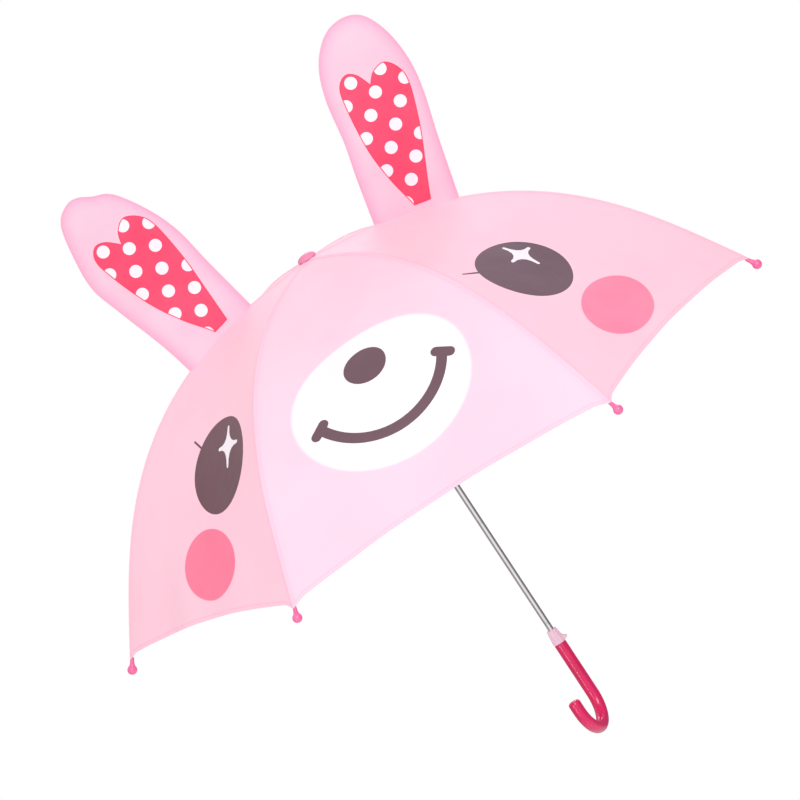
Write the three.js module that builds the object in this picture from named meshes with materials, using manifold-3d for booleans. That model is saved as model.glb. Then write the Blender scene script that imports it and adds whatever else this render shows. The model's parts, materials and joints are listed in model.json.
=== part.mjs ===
// A children's stick umbrella with two soft ears: six hinged ribs, a sliding runner on a steel
// shaft, a canopy of six gores and a hooked handle. Millimetres, +Z up along the shaft. The origin
// is on the shaft's axis, in the middle of the grip. The front gore faces -Y.
import * as THREE from "three";
import { mergeVertices } from "three/addons/utils/BufferGeometryUtils.js";
import Module from "manifold-3d";

const wasm = await Module();
wasm.setup();

// ---- Driving dimensions ----

const GAP = 0.3; // between pieces that rest on each other
const CAP_RIM_Z = 487; // the depths below are measured down from here

// the canopy's ribs, as a curve from the shaft's axis out to the ball tip
const RIB_COUNT = 6;
const RIB_LENGTH = 470;
const FIRST_RIB_AZIMUTH = -60;
const RIB_START_DEPTH = 4.2;
const RIB_START_SLOPE = 3.4; // degrees below level at the axis
const RIB_TURN = 54.5; // how much steeper it is at the tip
const RIB_SHOULDER = 4.6; // extra slope halfway along
const RIB_WIDTH = 2.2;
const RIB_HEIGHT = 2.4;
const RIB_INSET = 3; // the channel's centre below the cloth's outer side
const WIRE_RADIUS = 1.1;
const WIRE_INSET = 2.4;

// the fold's pivots
const HUB_PIVOT_RADIUS = 8;
const HUB_PIVOT_DEPTH = 9.5;
const JOINT_ARC = 188; // along the rib, where the stretcher and the outer rib are hinged
const JOINT_INSET = 4.5;
const PIN_RADIUS = 0.75;
const PIN_HOLE_RADIUS = 1.05;
const EYE_RADIUS = 2;
const EYE_HOLE_RADIUS = 0.95;
const RING_WIRE_RADIUS = 0.6;

// half widths of what is stacked on each rib's pin, from the middle outwards
const TONGUE = [0, 0.5];
const FORK = [0.8, 1.4];
const CHEEK = [1.7, 2.5];

// the cloth
const CLOTH = 0.6;
const HEM_ARC = 456;
const HEM_SCALLOP = 11;
const HUB_HOLE_ARC = 4.6;
const TENT_RISE = 1.6; // the cloth rises into the cap
const TENT_RADIUS = 16;

// the shaft and what is on it
const SHAFT_RADIUS = 3;
const SHAFT_BORE = 2.4;
const SHAFT_TOP_DEPTH = 0.5;
const SHAFT_END_DEPTH = 500;
const CROWN_RADIUS = 10;
const CROWN_CORE = 5.2;
const CROWN_TOP_DEPTH = 4.6;
const CROWN_BASE_DEPTH = 13.5;
const CROWN_PIN_DEPTH = 12;
const SLOT_HALF = 1.1;
const RUNNER_LENGTH = 40; // from its pivots down to its lower rim
const RUNNER_SLEEVE = 5;
const RUNNER_RIM = 7.5;
const CATCH_LENGTH = 16;
const CATCH_REACH = 2.4; // how far a catch stands out of the shaft
const CATCH_HALF = 0.5;
const FOLDED_RUNNER_DEPTH = 361.2; // the runner's pivots when the canopy is folded
const WINDOW_DROP = 17; // from the runner's pivots down to its window for the lower catch

// the collar and the handle
const COLLAR_TOP_DEPTH = 445;
const HANDLE_TOP_DEPTH = 461;
const HANDLE_RADIUS = 6.3;
const HOOK_RADIUS = 28;
const HOOK_DEPTH = 520; // where the straight grip turns into the hook
const HOOK_TIP = 10; // the straight end of the hook
const HOOK_AZIMUTH = -109.5;

// the ears
const EAR_LENGTH = 198;
const EAR_HALF_BASE = 43;
const EAR_BULGE = 5;
const EAR_THICKNESS = 8;
const EAR_LEAN = 13.4;
const EAR_CENTRE = 115; // from the shaft's axis to the middle of the ear's base
const EAR_BASE_DEPTH = 19;

const radians = THREE.MathUtils.degToRad;
const ribAzimuth = (k) => FIRST_RIB_AZIMUTH + (k - 1) * (360 / RIB_COUNT);
const goreAzimuth = (k) => ribAzimuth(k) - 180 / RIB_COUNT;
const ribNumbers = Array.from({ length: RIB_COUNT }, (_, i) => i + 1);

// ---- Materials ----

const paint = (color, roughness, metalness) =>
  new THREE.MeshStandardMaterial({ color, roughness, metalness });
const steel = paint(0xc8c8cc, 0.25, 1);
const cloth = paint(0xfcd7e6, 0.8, 0);
const plush = paint(0xffe2ec, 0.9, 0);
const hotPink = paint(0xf7739f, 0.3, 0);
const capPink = paint(0xdf7fa6, 0.35, 0);
const magenta = paint(0xdf2a63, 0.12, 0);
const clearPink = paint(0xecd0dd, 0.2, 0);
const whitePlastic = paint(0xf4f0f2, 0.4, 0);

// ---- Solids ----

function solid(geometry) {
  const plain = geometry.clone();
  plain.deleteAttribute("normal");
  plain.deleteAttribute("uv");
  const merged = mergeVertices(plain, 1e-4);
  const mesh = new wasm.Mesh({
    numProp: 3,
    vertProperties: new Float32Array(merged.attributes.position.array),
    triVerts: new Uint32Array(merged.index.array),
  });
  return new wasm.Manifold(mesh);
}

function geometryOf(body) {
  const mesh = body.getMesh();
  const geometry = new THREE.BufferGeometry();
  geometry.setAttribute("position", new THREE.BufferAttribute(mesh.vertProperties, 3));
  geometry.setIndex(new THREE.BufferAttribute(mesh.triVerts, 1));
  geometry.computeVertexNormals();
  return geometry;
}

const join = (...bodies) => bodies.reduce((whole, body) => whole.add(body));
const cut = (body, ...tools) => tools.reduce((rest, tool) => rest.subtract(tool), body);

// a flat shape drawn in the rib's own plane, outwards and up, and made thick across that plane
function slab(shape, from, to) {
  const geometry = new THREE.ExtrudeGeometry(shape, {
    depth: to - from,
    bevelEnabled: false,
    curveSegments: 5,
  });
  geometry.rotateX(Math.PI / 2);
  geometry.translate(0, to, 0);
  return solid(geometry);
}

function outline(points) {
  return new THREE.Shape(points.map(([x, z]) => new THREE.Vector2(x, z)));
}

function disc(centre, radius) {
  return new THREE.Shape().absarc(centre.r, centre.z, radius, 0, 2 * Math.PI);
}

// a bar of even height between two points
function link(a, b, half) {
  const length = Math.hypot(b.r - a.r, b.z - a.z);
  const across = [(-(b.z - a.z) * half) / length, ((b.r - a.r) * half) / length];
  return outline([
    [a.r - across[0], a.z - across[1]],
    [b.r - across[0], b.z - across[1]],
    [b.r + across[0], b.z + across[1]],
    [a.r + across[0], a.z + across[1]],
  ]);
}

// the same slab on both sides of the rib's plane
function pair(shape, [from, to]) {
  return [slab(shape, from, to), slab(shape, -to, -from)];
}

function box(x, y, z) {
  const geometry = new THREE.BoxGeometry(x[1] - x[0], y[1] - y[0], z[1] - z[0]);
  geometry.translate((x[0] + x[1]) / 2, (y[0] + y[1]) / 2, (z[0] + z[1]) / 2);
  return solid(geometry);
}

// a turned piece: [radius, depth] pairs, down one side of the section and closed
function turned(profile, sides = 20) {
  const points = profile.map(([r, depth]) => new THREE.Vector2(r, CAP_RIM_Z - depth));
  points.push(points[0].clone());
  const geometry = new THREE.LatheGeometry(points, sides);
  geometry.rotateX(Math.PI / 2);
  const body = solid(geometry);
  return body.volume() > 0 ? body : solid(flipped(geometry));
}

function flipped(geometry) {
  const index = geometry.index.array;
  for (let i = 0; i < index.length; i += 3) {
    [index[i], index[i + 1]] = [index[i + 1], index[i]];
  }
  return geometry;
}

function ring(depth, radius, wire) {
  const geometry = new THREE.TorusGeometry(radius, wire, 6, 30);
  geometry.translate(0, 0, CAP_RIM_Z - depth);
  return solid(geometry);
}

// ---- The canopy's curve ----

function ribSlope(arc) {
  const t = arc / RIB_LENGTH;
  const turn = (RIB_TURN * (1 - Math.cos(Math.PI * t))) / 2;
  return radians(RIB_START_SLOPE + turn + RIB_SHOULDER * Math.sin(Math.PI * t));
}

// the place on the rib's curve at a distance along it, moved inwards by the inset
function ribPoint(arc, inset = 0) {
  const steps = Math.max(1, Math.ceil(arc / 2));
  const step = arc / steps;
  let r = 0;
  let depth = RIB_START_DEPTH;
  for (let i = 0; i < steps; i++) {
    const slope = ribSlope((i + 0.5) * step);
    r += Math.cos(slope) * step;
    depth += Math.sin(slope) * step;
  }
  const slope = ribSlope(arc);
  return {
    r: r - inset * Math.sin(slope),
    z: CAP_RIM_Z - depth - inset * Math.cos(slope),
    slope,
  };
}

function clothPoint(arc, inset = 0) {
  const point = ribPoint(arc, inset);
  point.z += TENT_RISE * Math.exp(-((point.r / TENT_RADIUS) ** 2));
  return point;
}

// a band that follows the rib between two insets
function ribBand(fromArc, toArc, outer, inner, steps) {
  const arcs = Array.from({ length: steps + 1 }, (_, i) => fromArc + ((toArc - fromArc) * i) / steps);
  const top = arcs.map((arc) => ribPoint(arc, outer));
  const under = arcs.map((arc) => ribPoint(arc, inner)).reverse();
  return outline([...top, ...under].reverse().map((p) => [p.r, p.z]));
}

const hubPivot = { r: HUB_PIVOT_RADIUS, z: CAP_RIM_Z - HUB_PIVOT_DEPTH };
const ribJoint = ribPoint(JOINT_ARC, JOINT_INSET);
// the runner's pivots are as far from the rib's joint as the hub's are, so the two halves match
const runnerPivot = { r: HUB_PIVOT_RADIUS, z: 2 * ribJoint.z - hubPivot.z };
const runnerDepth = CAP_RIM_Z - runnerPivot.z;
const eyeHole = (pivot) => slab(disc(pivot, EYE_HOLE_RADIUS), -SLOT_HALF, SLOT_HALF);
const pinHole = () => slab(disc(ribJoint, PIN_HOLE_RADIUS), -CHEEK[1] - 1, CHEEK[1] + 1);

// ---- The frame of each rib, drawn at azimuth 0 ----

const EYE_HALF = SLOT_HALF - 0.4;
const CHANNEL_START = 14;
const CHANNEL_END = JOINT_ARC - 9;
const WIRE_START = JOINT_ARC + 6;
const WIRE_END = RIB_LENGTH - 10;

function innerRib() {
  const half = RIB_WIDTH / 2;
  const outer = RIB_INSET - RIB_HEIGHT / 2;
  const inner = RIB_INSET + RIB_HEIGHT / 2;
  const channel = slab(ribBand(CHANNEL_START, CHANNEL_END, outer, inner, 8), -half, half);
  const groove = slab(
    ribBand(CHANNEL_START + 6, CHANNEL_END - 6, outer + 0.8, inner + 1, 8),
    -half + 0.5,
    half - 0.5,
  );
  const start = ribPoint(CHANNEL_START + 2, RIB_INSET);
  const end = ribPoint(CHANNEL_END - 2, RIB_INSET);
  const back = ribPoint(CHANNEL_END - 5, RIB_INSET);
  const body = join(
    cut(channel, groove),
    slab(disc(hubPivot, EYE_RADIUS), -EYE_HALF, EYE_HALF),
    slab(link(hubPivot, start, 1), -EYE_HALF, EYE_HALF),
    slab(link(back, end, 1.2), -CHEEK[1], CHEEK[1]),
    ...pair(link(back, ribJoint, 1.2), CHEEK),
    ...pair(disc(ribJoint, 2.4), CHEEK),
  );
  return cut(body, eyeHole(hubPivot), pinHole());
}

function outerRib() {
  const path = new THREE.CatmullRomCurve3(
    Array.from({ length: 13 }, (_, i) => {
      const p = ribPoint(WIRE_START + ((WIRE_END - WIRE_START) * i) / 12, WIRE_INSET);
      return new THREE.Vector3(p.r, 0, p.z);
    }),
  );
  const section = new THREE.Shape().absarc(0, 0, WIRE_RADIUS, 0, 2 * Math.PI);
  const wire = new THREE.ExtrudeGeometry(section, {
    steps: 12,
    curveSegments: 3,
    extrudePath: path,
    bevelEnabled: false,
  });
  const root = ribPoint(WIRE_START + 3, WIRE_INSET);
  const body = join(
    solid(wire),
    slab(link(ribJoint, root, 1), TONGUE[0] - TONGUE[1], TONGUE[1]),
    slab(disc(ribJoint, 2.2), -TONGUE[1], TONGUE[1]),
  );
  return cut(body, pinHole());
}

function stretcher() {
  const half = RIB_WIDTH / 2;
  const along = (distance) => {
    const length = Math.hypot(runnerPivot.r - ribJoint.r, runnerPivot.z - ribJoint.z);
    const t = distance / length;
    return {
      r: ribJoint.r + (runnerPivot.r - ribJoint.r) * t,
      z: ribJoint.z + (runnerPivot.z - ribJoint.z) * t,
      length,
    };
  };
  const length = along(0).length;
  const bar = slab(link(along(9), along(length - 6), 1.1), -half, half);
  const groove = slab(link(along(15), along(length - 12), 0.9), -half + 0.5, half - 0.5);
  const sunk = groove.translate([0, 0, -0.8]);
  const body = join(
    cut(bar, sunk),
    slab(link(along(9), along(12), 1.2), -FORK[1], FORK[1]),
    ...pair(link(along(0), along(12), 1.2), FORK),
    ...pair(disc(ribJoint, 2.2), FORK),
    slab(link(along(length - 8), runnerPivot, 1), -EYE_HALF, EYE_HALF),
    slab(disc(runnerPivot, EYE_RADIUS), -EYE_HALF, EYE_HALF),
  );
  return cut(body, pinHole(), eyeHole(runnerPivot));
}

function rivet() {
  const head = CHEEK[1] + GAP;
  return join(
    slab(disc(ribJoint, PIN_RADIUS), -head - 0.4, head + 0.4),
    ...pair(disc(ribJoint, 1.5), [head, head + 0.6]),
  );
}

// a turned tip on the end of the wire: a socket, a bead that the cloth is sewn to, and a ball
function tip() {
  const profile = [
    [WIRE_RADIUS + GAP, -13.6],
    [1.9, -13.6],
    [2.6, -12.6],
    [2.6, -9.8],
    [1.8, -8.4],
    [1.8, -5],
    [3.3, -3.2],
    [4.3, -1.6],
    [4.6, 0],
    [4, 2.3],
    [2.3, 4],
    [0, 4.6],
    [0, -9.4],
    [WIRE_RADIUS + GAP, -9.4],
  ];
  const points = profile.map(([r, along]) => new THREE.Vector2(r, along));
  points.push(points[0].clone());
  const geometry = new THREE.LatheGeometry(points, 9);
  const place = ribPoint(RIB_LENGTH, WIRE_INSET);
  geometry.rotateZ(-Math.PI / 2 - place.slope);
  geometry.rotateX(Math.PI / 2);
  geometry.translate(place.r, 0, place.z);
  const body = solid(geometry);
  return body.volume() > 0 ? body : solid(flipped(geometry));
}

// ---- The cloth of each gore, drawn at azimuth 0 in the middle of the gore ----

// half a gore to each side of its middle: across runs from -1 to 1, rib to rib
function gorePoint(arc, across, inset) {
  const p = clothPoint(arc, inset);
  const half = p.r * Math.sin(Math.PI / RIB_COUNT) - GAP;
  return [p.r * Math.cos(Math.PI / RIB_COUNT), across * half, p.z];
}

function goreSheet(fromArc, toArc, scallop, rows, columns) {
  const positions = [];
  const faces = [];
  const at = (layer, i, j) => (layer * (rows + 1) + i) * (columns + 1) + j;
  for (const inset of [0, CLOTH]) {
    for (let i = 0; i <= rows; i++) {
      for (let j = 0; j <= columns; j++) {
        const across = (2 * j) / columns - 1;
        const end = toArc - scallop * (1 - across ** 2);
        const arc = fromArc + ((end - fromArc) * i) / rows;
        positions.push(...gorePoint(arc, across, inset));
      }
    }
  }
  const quad = (a, b, c, d) => faces.push(a, b, c, a, c, d);
  for (let i = 0; i < rows; i++) {
    for (let j = 0; j < columns; j++) {
      quad(at(0, i, j), at(0, i + 1, j), at(0, i + 1, j + 1), at(0, i, j + 1));
      quad(at(1, i, j), at(1, i, j + 1), at(1, i + 1, j + 1), at(1, i + 1, j));
    }
    quad(at(0, i, 0), at(1, i, 0), at(1, i + 1, 0), at(0, i + 1, 0));
    quad(at(0, i, columns), at(0, i + 1, columns), at(1, i + 1, columns), at(1, i, columns));
  }
  for (let j = 0; j < columns; j++) {
    quad(at(0, 0, j), at(0, 0, j + 1), at(1, 0, j + 1), at(1, 0, j));
    quad(at(0, rows, j), at(1, rows, j), at(1, rows, j + 1), at(0, rows, j + 1));
  }
  const geometry = new THREE.BufferGeometry();
  geometry.setAttribute("position", new THREE.Float32BufferAttribute(positions, 3));
  geometry.setIndex(faces);
  return solid(geometry);
}

// ---- The hub, the runner and the catches ----

function pivotSlots(depth, tall, wide) {
  const slots = ribNumbers.map((k) =>
    box([CROWN_CORE, CROWN_RADIUS + 2], [-wide, wide], [-tall, tall])
      .translate([0, 0, CAP_RIM_Z - depth])
      .rotate([0, 0, ribAzimuth(k)]),
  );
  return join(...slots);
}

const groove = (depth) => ring(depth, HUB_PIVOT_RADIUS, RING_WIRE_RADIUS + GAP);

function crown() {
  const body = turned([
    [SHAFT_RADIUS + GAP, CROWN_TOP_DEPTH],
    [CROWN_RADIUS - 0.8, CROWN_TOP_DEPTH],
    [CROWN_RADIUS, CROWN_TOP_DEPTH + 0.8],
    [CROWN_RADIUS, CROWN_BASE_DEPTH - 1.5],
    [CROWN_RADIUS - 2, CROWN_BASE_DEPTH],
    [SHAFT_RADIUS + GAP, CROWN_BASE_DEPTH],
  ]);
  const slots = pivotSlots(HUB_PIVOT_DEPTH, 10, SLOT_HALF);
  return cut(body, slots, groove(HUB_PIVOT_DEPTH), crownPinRod(0.8 + GAP, CROWN_RADIUS + 1));
}

function crownPinRod(radius, half) {
  const geometry = new THREE.CylinderGeometry(radius, radius, 2 * half, 12);
  geometry.translate(0, 0, CAP_RIM_Z - CROWN_PIN_DEPTH);
  return solid(geometry);
}

function cap() {
  return turned([
    [0, -2],
    [3.5, -1.7],
    [6.5, -0.6],
    [8.8, 1.2],
    [9.9, 2.7],
    [9.9, 3.3],
    [8.6, 3.3],
    [8, 2.4],
    [SHAFT_RADIUS + GAP, 2.4],
    [SHAFT_RADIUS + GAP, SHAFT_TOP_DEPTH - GAP],
    [0, SHAFT_TOP_DEPTH - GAP],
  ]);
}

function runner() {
  const base = runnerDepth + RUNNER_LENGTH;
  const body = turned([
    [SHAFT_RADIUS + GAP, runnerDepth - 4.5],
    [CROWN_RADIUS - 1, runnerDepth - 4.5],
    [CROWN_RADIUS, runnerDepth - 3.5],
    [CROWN_RADIUS, runnerDepth + 3],
    [RUNNER_SLEEVE + 1, runnerDepth + 5.5],
    [RUNNER_SLEEVE, runnerDepth + 8],
    [RUNNER_SLEEVE, base - 6],
    [RUNNER_RIM, base - 3.5],
    [RUNNER_RIM, base - 0.6],
    [RUNNER_RIM - 0.6, base],
    [SHAFT_RADIUS + GAP, base],
  ]);
  const slots = pivotSlots(runnerDepth, 5.2, SLOT_HALF);
  const high = CAP_RIM_Z - runnerDepth - WINDOW_DROP;
  const window = box([-0.9, 0.9], [SHAFT_RADIUS, CROWN_RADIUS + 2], [high - CATCH_LENGTH - 1, high]);
  return cut(body, slots, groove(runnerDepth), window);
}

const topCatchDepth = runnerDepth + RUNNER_LENGTH + GAP; // its square shoulder
const lowCatchDepth = FOLDED_RUNNER_DEPTH + WINDOW_DROP + CATCH_LENGTH + 0.5;

// a leaf inside the shaft with a wedge that stands out of a slot: the shoulder is its square end
function springCatch(shoulder, towards) {
  const z = (along) => CAP_RIM_Z - shoulder - towards * along;
  const shape = outline([
    [0.5, z(-3)],
    [1.5, z(-3)],
    [1.5, z(0)],
    [SHAFT_RADIUS + CATCH_REACH, z(0)],
    [SHAFT_RADIUS + CATCH_REACH, z(1.5)],
    [1.5, z(CATCH_LENGTH)],
    [1.5, z(CATCH_LENGTH + 3)],
    [0.5, z(CATCH_LENGTH + 3)],
  ]);
  const body = slab(shape, -CATCH_HALF, CATCH_HALF);
  return body.rotate([0, 0, 90]);
}

function catchSlot(shoulder, towards) {
  const ends = [CAP_RIM_Z - shoulder, CAP_RIM_Z - shoulder - towards * CATCH_LENGTH];
  const z = [Math.min(...ends) - 0.4, Math.max(...ends) + 0.4];
  return box([-CATCH_HALF - GAP, CATCH_HALF + GAP], [0, SHAFT_RADIUS + 1], z);
}

function shaft() {
  const tube = turned([
    [SHAFT_BORE, SHAFT_TOP_DEPTH],
    [SHAFT_RADIUS, SHAFT_TOP_DEPTH],
    [SHAFT_RADIUS, SHAFT_END_DEPTH],
    [SHAFT_BORE, SHAFT_END_DEPTH],
  ]);
  const pin = crownPinRod(0.8 + GAP, SHAFT_RADIUS + 1);
  return cut(tube, catchSlot(topCatchDepth, 1), catchSlot(lowCatchDepth, -1), pin);
}

// ---- The collar and the handle ----

function collar() {
  const flutes = 12;
  const section = Array.from({ length: 2 * flutes }, (_, i) => {
    const angle = (Math.PI * i) / flutes;
    const radius = i % 2 ? 0.93 : 1;
    return new THREE.Vector2(radius * Math.cos(angle), radius * Math.sin(angle));
  });
  const levels = [
    [4.9, COLLAR_TOP_DEPTH],
    [5.5, COLLAR_TOP_DEPTH + 3],
    [6.2, COLLAR_TOP_DEPTH + 9],
    [6.7, HANDLE_TOP_DEPTH - GAP],
  ];
  const layers = levels.slice(1).map(([low, depth], i) => {
    const [high, above] = levels[i];
    const geometry = new THREE.ExtrudeGeometry(new THREE.Shape(section), {
      depth: depth - above,
      bevelEnabled: false,
    });
    const place = geometry.attributes.position;
    for (let v = 0; v < place.count; v++) {
      const scale = place.getZ(v) > 0 ? high : low;
      place.setXY(v, place.getX(v) * scale, place.getY(v) * scale);
    }
    geometry.translate(0, 0, CAP_RIM_Z - depth);
    return solid(geometry);
  });
  const tab = slab(
    outline([
      [3.8, CAP_RIM_Z - COLLAR_TOP_DEPTH - 3.5],
      [6.2, CAP_RIM_Z - COLLAR_TOP_DEPTH - 9],
      [7.6, CAP_RIM_Z - HANDLE_TOP_DEPTH + 5],
      [9.8, CAP_RIM_Z - HANDLE_TOP_DEPTH + 4],
      [10.3, CAP_RIM_Z - HANDLE_TOP_DEPTH + 3],
      [9.3, CAP_RIM_Z - HANDLE_TOP_DEPTH + 1.6],
      [6, CAP_RIM_Z - HANDLE_TOP_DEPTH + GAP],
      [3.8, CAP_RIM_Z - HANDLE_TOP_DEPTH + GAP],
    ].reverse()),
    -2.6,
    2.6,
  );
  const bore = turned([
    [0, COLLAR_TOP_DEPTH - 1],
    [SHAFT_RADIUS + GAP, COLLAR_TOP_DEPTH - 1],
    [SHAFT_RADIUS + GAP, HANDLE_TOP_DEPTH + 1],
    [0, HANDLE_TOP_DEPTH + 1],
  ]);
  return cut(join(...layers, tab), bore);
}

function handle() {
  const top = CAP_RIM_Z - HANDLE_TOP_DEPTH;
  const bend = CAP_RIM_Z - HOOK_DEPTH;
  const end = bend + HOOK_TIP;
  const path = new THREE.CurvePath();
  const place = (x, z) => new THREE.Vector3(x, 0, z);
  const bendPoint = (turn) =>
    place(HOOK_RADIUS * (1 - Math.cos(turn)), bend - HOOK_RADIUS * Math.sin(turn));
  const turns = Array.from({ length: 13 }, (_, i) => (Math.PI * i) / 12);
  path.add(new THREE.LineCurve3(place(0, top), bendPoint(0)));
  turns.slice(1).forEach((turn, i) => {
    path.add(new THREE.LineCurve3(bendPoint(turns[i]), bendPoint(turn)));
  });
  path.add(new THREE.LineCurve3(bendPoint(Math.PI), place(2 * HOOK_RADIUS, end)));
  const section = new THREE.Shape().absarc(0, 0, HANDLE_RADIUS, 0, 2 * Math.PI);
  const tube = new THREE.ExtrudeGeometry(section, {
    steps: 28,
    curveSegments: 7,
    extrudePath: path,
    bevelEnabled: false,
  });
  const nose = new THREE.CylinderGeometry(HANDLE_RADIUS - 1.3, HANDLE_RADIUS, 1.4, 14);
  nose.rotateX(Math.PI / 2);
  nose.translate(2 * HOOK_RADIUS, 0, end + 0.6);
  const bore = turned([
    [0, HANDLE_TOP_DEPTH - 1],
    [SHAFT_RADIUS + GAP, HANDLE_TOP_DEPTH - 1],
    [SHAFT_RADIUS + GAP, SHAFT_END_DEPTH + 1],
    [0, SHAFT_END_DEPTH + 1],
  ]);
  return cut(join(solid(tube), solid(nose)), bore);
}

// ---- The ears and the closing strap ----

// drawn with its base's middle at the origin, then leaned outwards and set on the rib
function ear() {
  const shoulder = EAR_LENGTH * 0.64;
  const half = EAR_HALF_BASE + EAR_BULGE;
  const shape = new THREE.Shape();
  shape.moveTo(-EAR_HALF_BASE, -20);
  shape.lineTo(EAR_HALF_BASE, -20);
  shape.lineTo(EAR_HALF_BASE, 0);
  shape.quadraticCurveTo(half, shoulder / 2, half, shoulder);
  shape.absellipse(0, shoulder, half, EAR_LENGTH - shoulder, 0, Math.PI, false, 0);
  shape.quadraticCurveTo(-half, shoulder / 2, -EAR_HALF_BASE, 0);
  const thick = slab(shape, -EAR_THICKNESS / 2, EAR_THICKNESS / 2);
  const stood = thick
    .rotate([0, EAR_LEAN, 0])
    .translate([EAR_CENTRE, 0, CAP_RIM_Z - EAR_BASE_DEPTH]);
  const arcs = Array.from({ length: 15 }, (_, i) => 40 + 10 * i);
  const under = arcs.map((arc) => clothPoint(arc, -GAP)).map((p) => [p.r, p.z]);
  const below = outline([
    [arcs[0] - 20, CAP_RIM_Z - 120],
    [240, CAP_RIM_Z - 120],
    [240, under[under.length - 1][1]],
    ...under.reverse(),
    [arcs[0] - 20, under[under.length - 1][1]],
  ]);
  return cut(stood, slab(below, -EAR_THICKNESS, EAR_THICKNESS));
}

const STRAP_ARC = 330;
const STRAP_WIDTH = 14;
const STRAP_SPAN = [20, 125]; // across the gore from its middle, towards the seam
const SNAP_RADIUS = 5;

// lies on the cloth across the rear gore: both pieces are drawn flat, then laid on its slope
function onGore(geometry) {
  const p = clothPoint(STRAP_ARC, -GAP);
  geometry.rotateY(p.slope);
  geometry.translate(p.r * Math.cos(Math.PI / RIB_COUNT), 0, p.z);
  return solid(geometry);
}

function strap() {
  const span = STRAP_SPAN[1] - STRAP_SPAN[0];
  const geometry = new THREE.BoxGeometry(STRAP_WIDTH, span, 1);
  geometry.translate(0, (STRAP_SPAN[0] + STRAP_SPAN[1]) / 2, 1);
  return onGore(geometry);
}

function snap() {
  const geometry = new THREE.CylinderGeometry(SNAP_RADIUS - 0.8, SNAP_RADIUS, 1.6, 20);
  geometry.rotateX(Math.PI / 2);
  geometry.translate(0, STRAP_SPAN[0] + SNAP_RADIUS + 2, 1.5 + GAP + 0.8);
  return onGore(geometry);
}

// ---- The assembly ----

const umbrella = new THREE.Group();

function add(name, body, material, azimuth = 0) {
  const mesh = new THREE.Mesh(geometryOf(body), material);
  mesh.name = name;
  mesh.rotation.z = radians(azimuth);
  umbrella.add(mesh);
}

add("shaft_tube", shaft(), steel);
add("top_cap", cap(), capPink);
add("notch_crown", crown(), whitePlastic);
add("notch_ring", ring(HUB_PIVOT_DEPTH, HUB_PIVOT_RADIUS, RING_WIRE_RADIUS), steel);
add("crown_pin", crownPinRod(0.8, CROWN_CORE - 0.4), steel);
add("runner", runner(), whitePlastic);
add("runner_ring", ring(runnerDepth, HUB_PIVOT_RADIUS, RING_WIRE_RADIUS), steel);
add("top_catch", springCatch(topCatchDepth, 1), steel);
add("low_catch", springCatch(lowCatchDepth, -1), steel);
add("collar", collar(), clearPink);
add("handle", handle(), magenta, HOOK_AZIMUTH);

const ribPieces = [
  ["rib_inner", innerRib(), steel],
  ["rib_outer", outerRib(), steel],
  ["stretcher", stretcher(), steel],
  ["rib_rivet", rivet(), steel],
  ["rib_tip", tip(), hotPink],
];
const gorePieces = [
  ["gore_inner", goreSheet(HUB_HOLE_ARC, JOINT_ARC - GAP, 0, 7, 2), cloth],
  ["gore_outer", goreSheet(JOINT_ARC, HEM_ARC, HEM_SCALLOP, 9, 6), cloth],
];
for (const k of ribNumbers) {
  ribPieces.forEach(([name, body, material]) => add(`${name}_${k}`, body, material, ribAzimuth(k)));
  gorePieces.forEach(([name, body, material]) => add(`${name}_${k}`, body, material, goreAzimuth(k)));
}

add("ear_right", ear(), plush, 0);
add("ear_left", ear(), plush, 180);
add("closing_strap", strap(), cloth, goreAzimuth(4));
add("strap_snap", snap(), hotPink, goreAzimuth(4));

export default umbrella;
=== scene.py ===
"""Children's umbrella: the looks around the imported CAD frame. Lengths in the tables are millimetres."""
import json
import math

import bmesh
import bpy
import numpy as np
from mathutils import Matrix, Vector, geometry

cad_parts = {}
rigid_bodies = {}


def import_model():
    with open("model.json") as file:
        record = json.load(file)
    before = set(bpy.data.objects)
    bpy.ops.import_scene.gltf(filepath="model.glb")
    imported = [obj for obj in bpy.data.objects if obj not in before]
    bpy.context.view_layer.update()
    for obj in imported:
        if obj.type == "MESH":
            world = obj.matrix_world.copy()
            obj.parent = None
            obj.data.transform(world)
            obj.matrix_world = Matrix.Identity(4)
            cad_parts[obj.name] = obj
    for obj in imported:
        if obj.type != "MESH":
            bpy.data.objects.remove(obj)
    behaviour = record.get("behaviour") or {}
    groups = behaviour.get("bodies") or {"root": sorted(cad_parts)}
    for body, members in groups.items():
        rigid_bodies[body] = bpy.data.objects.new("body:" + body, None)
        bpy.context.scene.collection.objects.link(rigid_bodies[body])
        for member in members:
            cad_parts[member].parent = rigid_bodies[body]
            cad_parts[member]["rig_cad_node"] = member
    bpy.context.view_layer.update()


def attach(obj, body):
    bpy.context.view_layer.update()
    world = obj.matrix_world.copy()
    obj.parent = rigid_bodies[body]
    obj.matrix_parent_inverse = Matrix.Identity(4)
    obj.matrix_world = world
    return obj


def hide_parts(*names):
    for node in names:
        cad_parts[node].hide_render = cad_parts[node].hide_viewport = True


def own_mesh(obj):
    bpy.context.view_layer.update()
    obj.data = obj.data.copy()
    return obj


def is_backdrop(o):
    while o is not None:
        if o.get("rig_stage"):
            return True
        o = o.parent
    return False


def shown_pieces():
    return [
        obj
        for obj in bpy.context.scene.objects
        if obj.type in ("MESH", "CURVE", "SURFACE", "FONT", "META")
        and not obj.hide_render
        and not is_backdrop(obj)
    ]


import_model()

# ---------------------------------------------------------------- driving dimensions
CAP_HEIGHT = 487.0          # the cap's rim above the origin
RIB_ARC = 470.0             # along a rib, from the axis to its tip
RIB_SLOPES = (3.4, 54.5, 4.6)   # degrees down: at the axis, gained by the tip, and extra halfway
HUB_ARC = 4.6               # the hole in the cloth, under the cap
JOINT_ARC = 188.0           # where the inner and outer ribs meet
HEM_ARC = 456.0             # the hem at a rib
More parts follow.
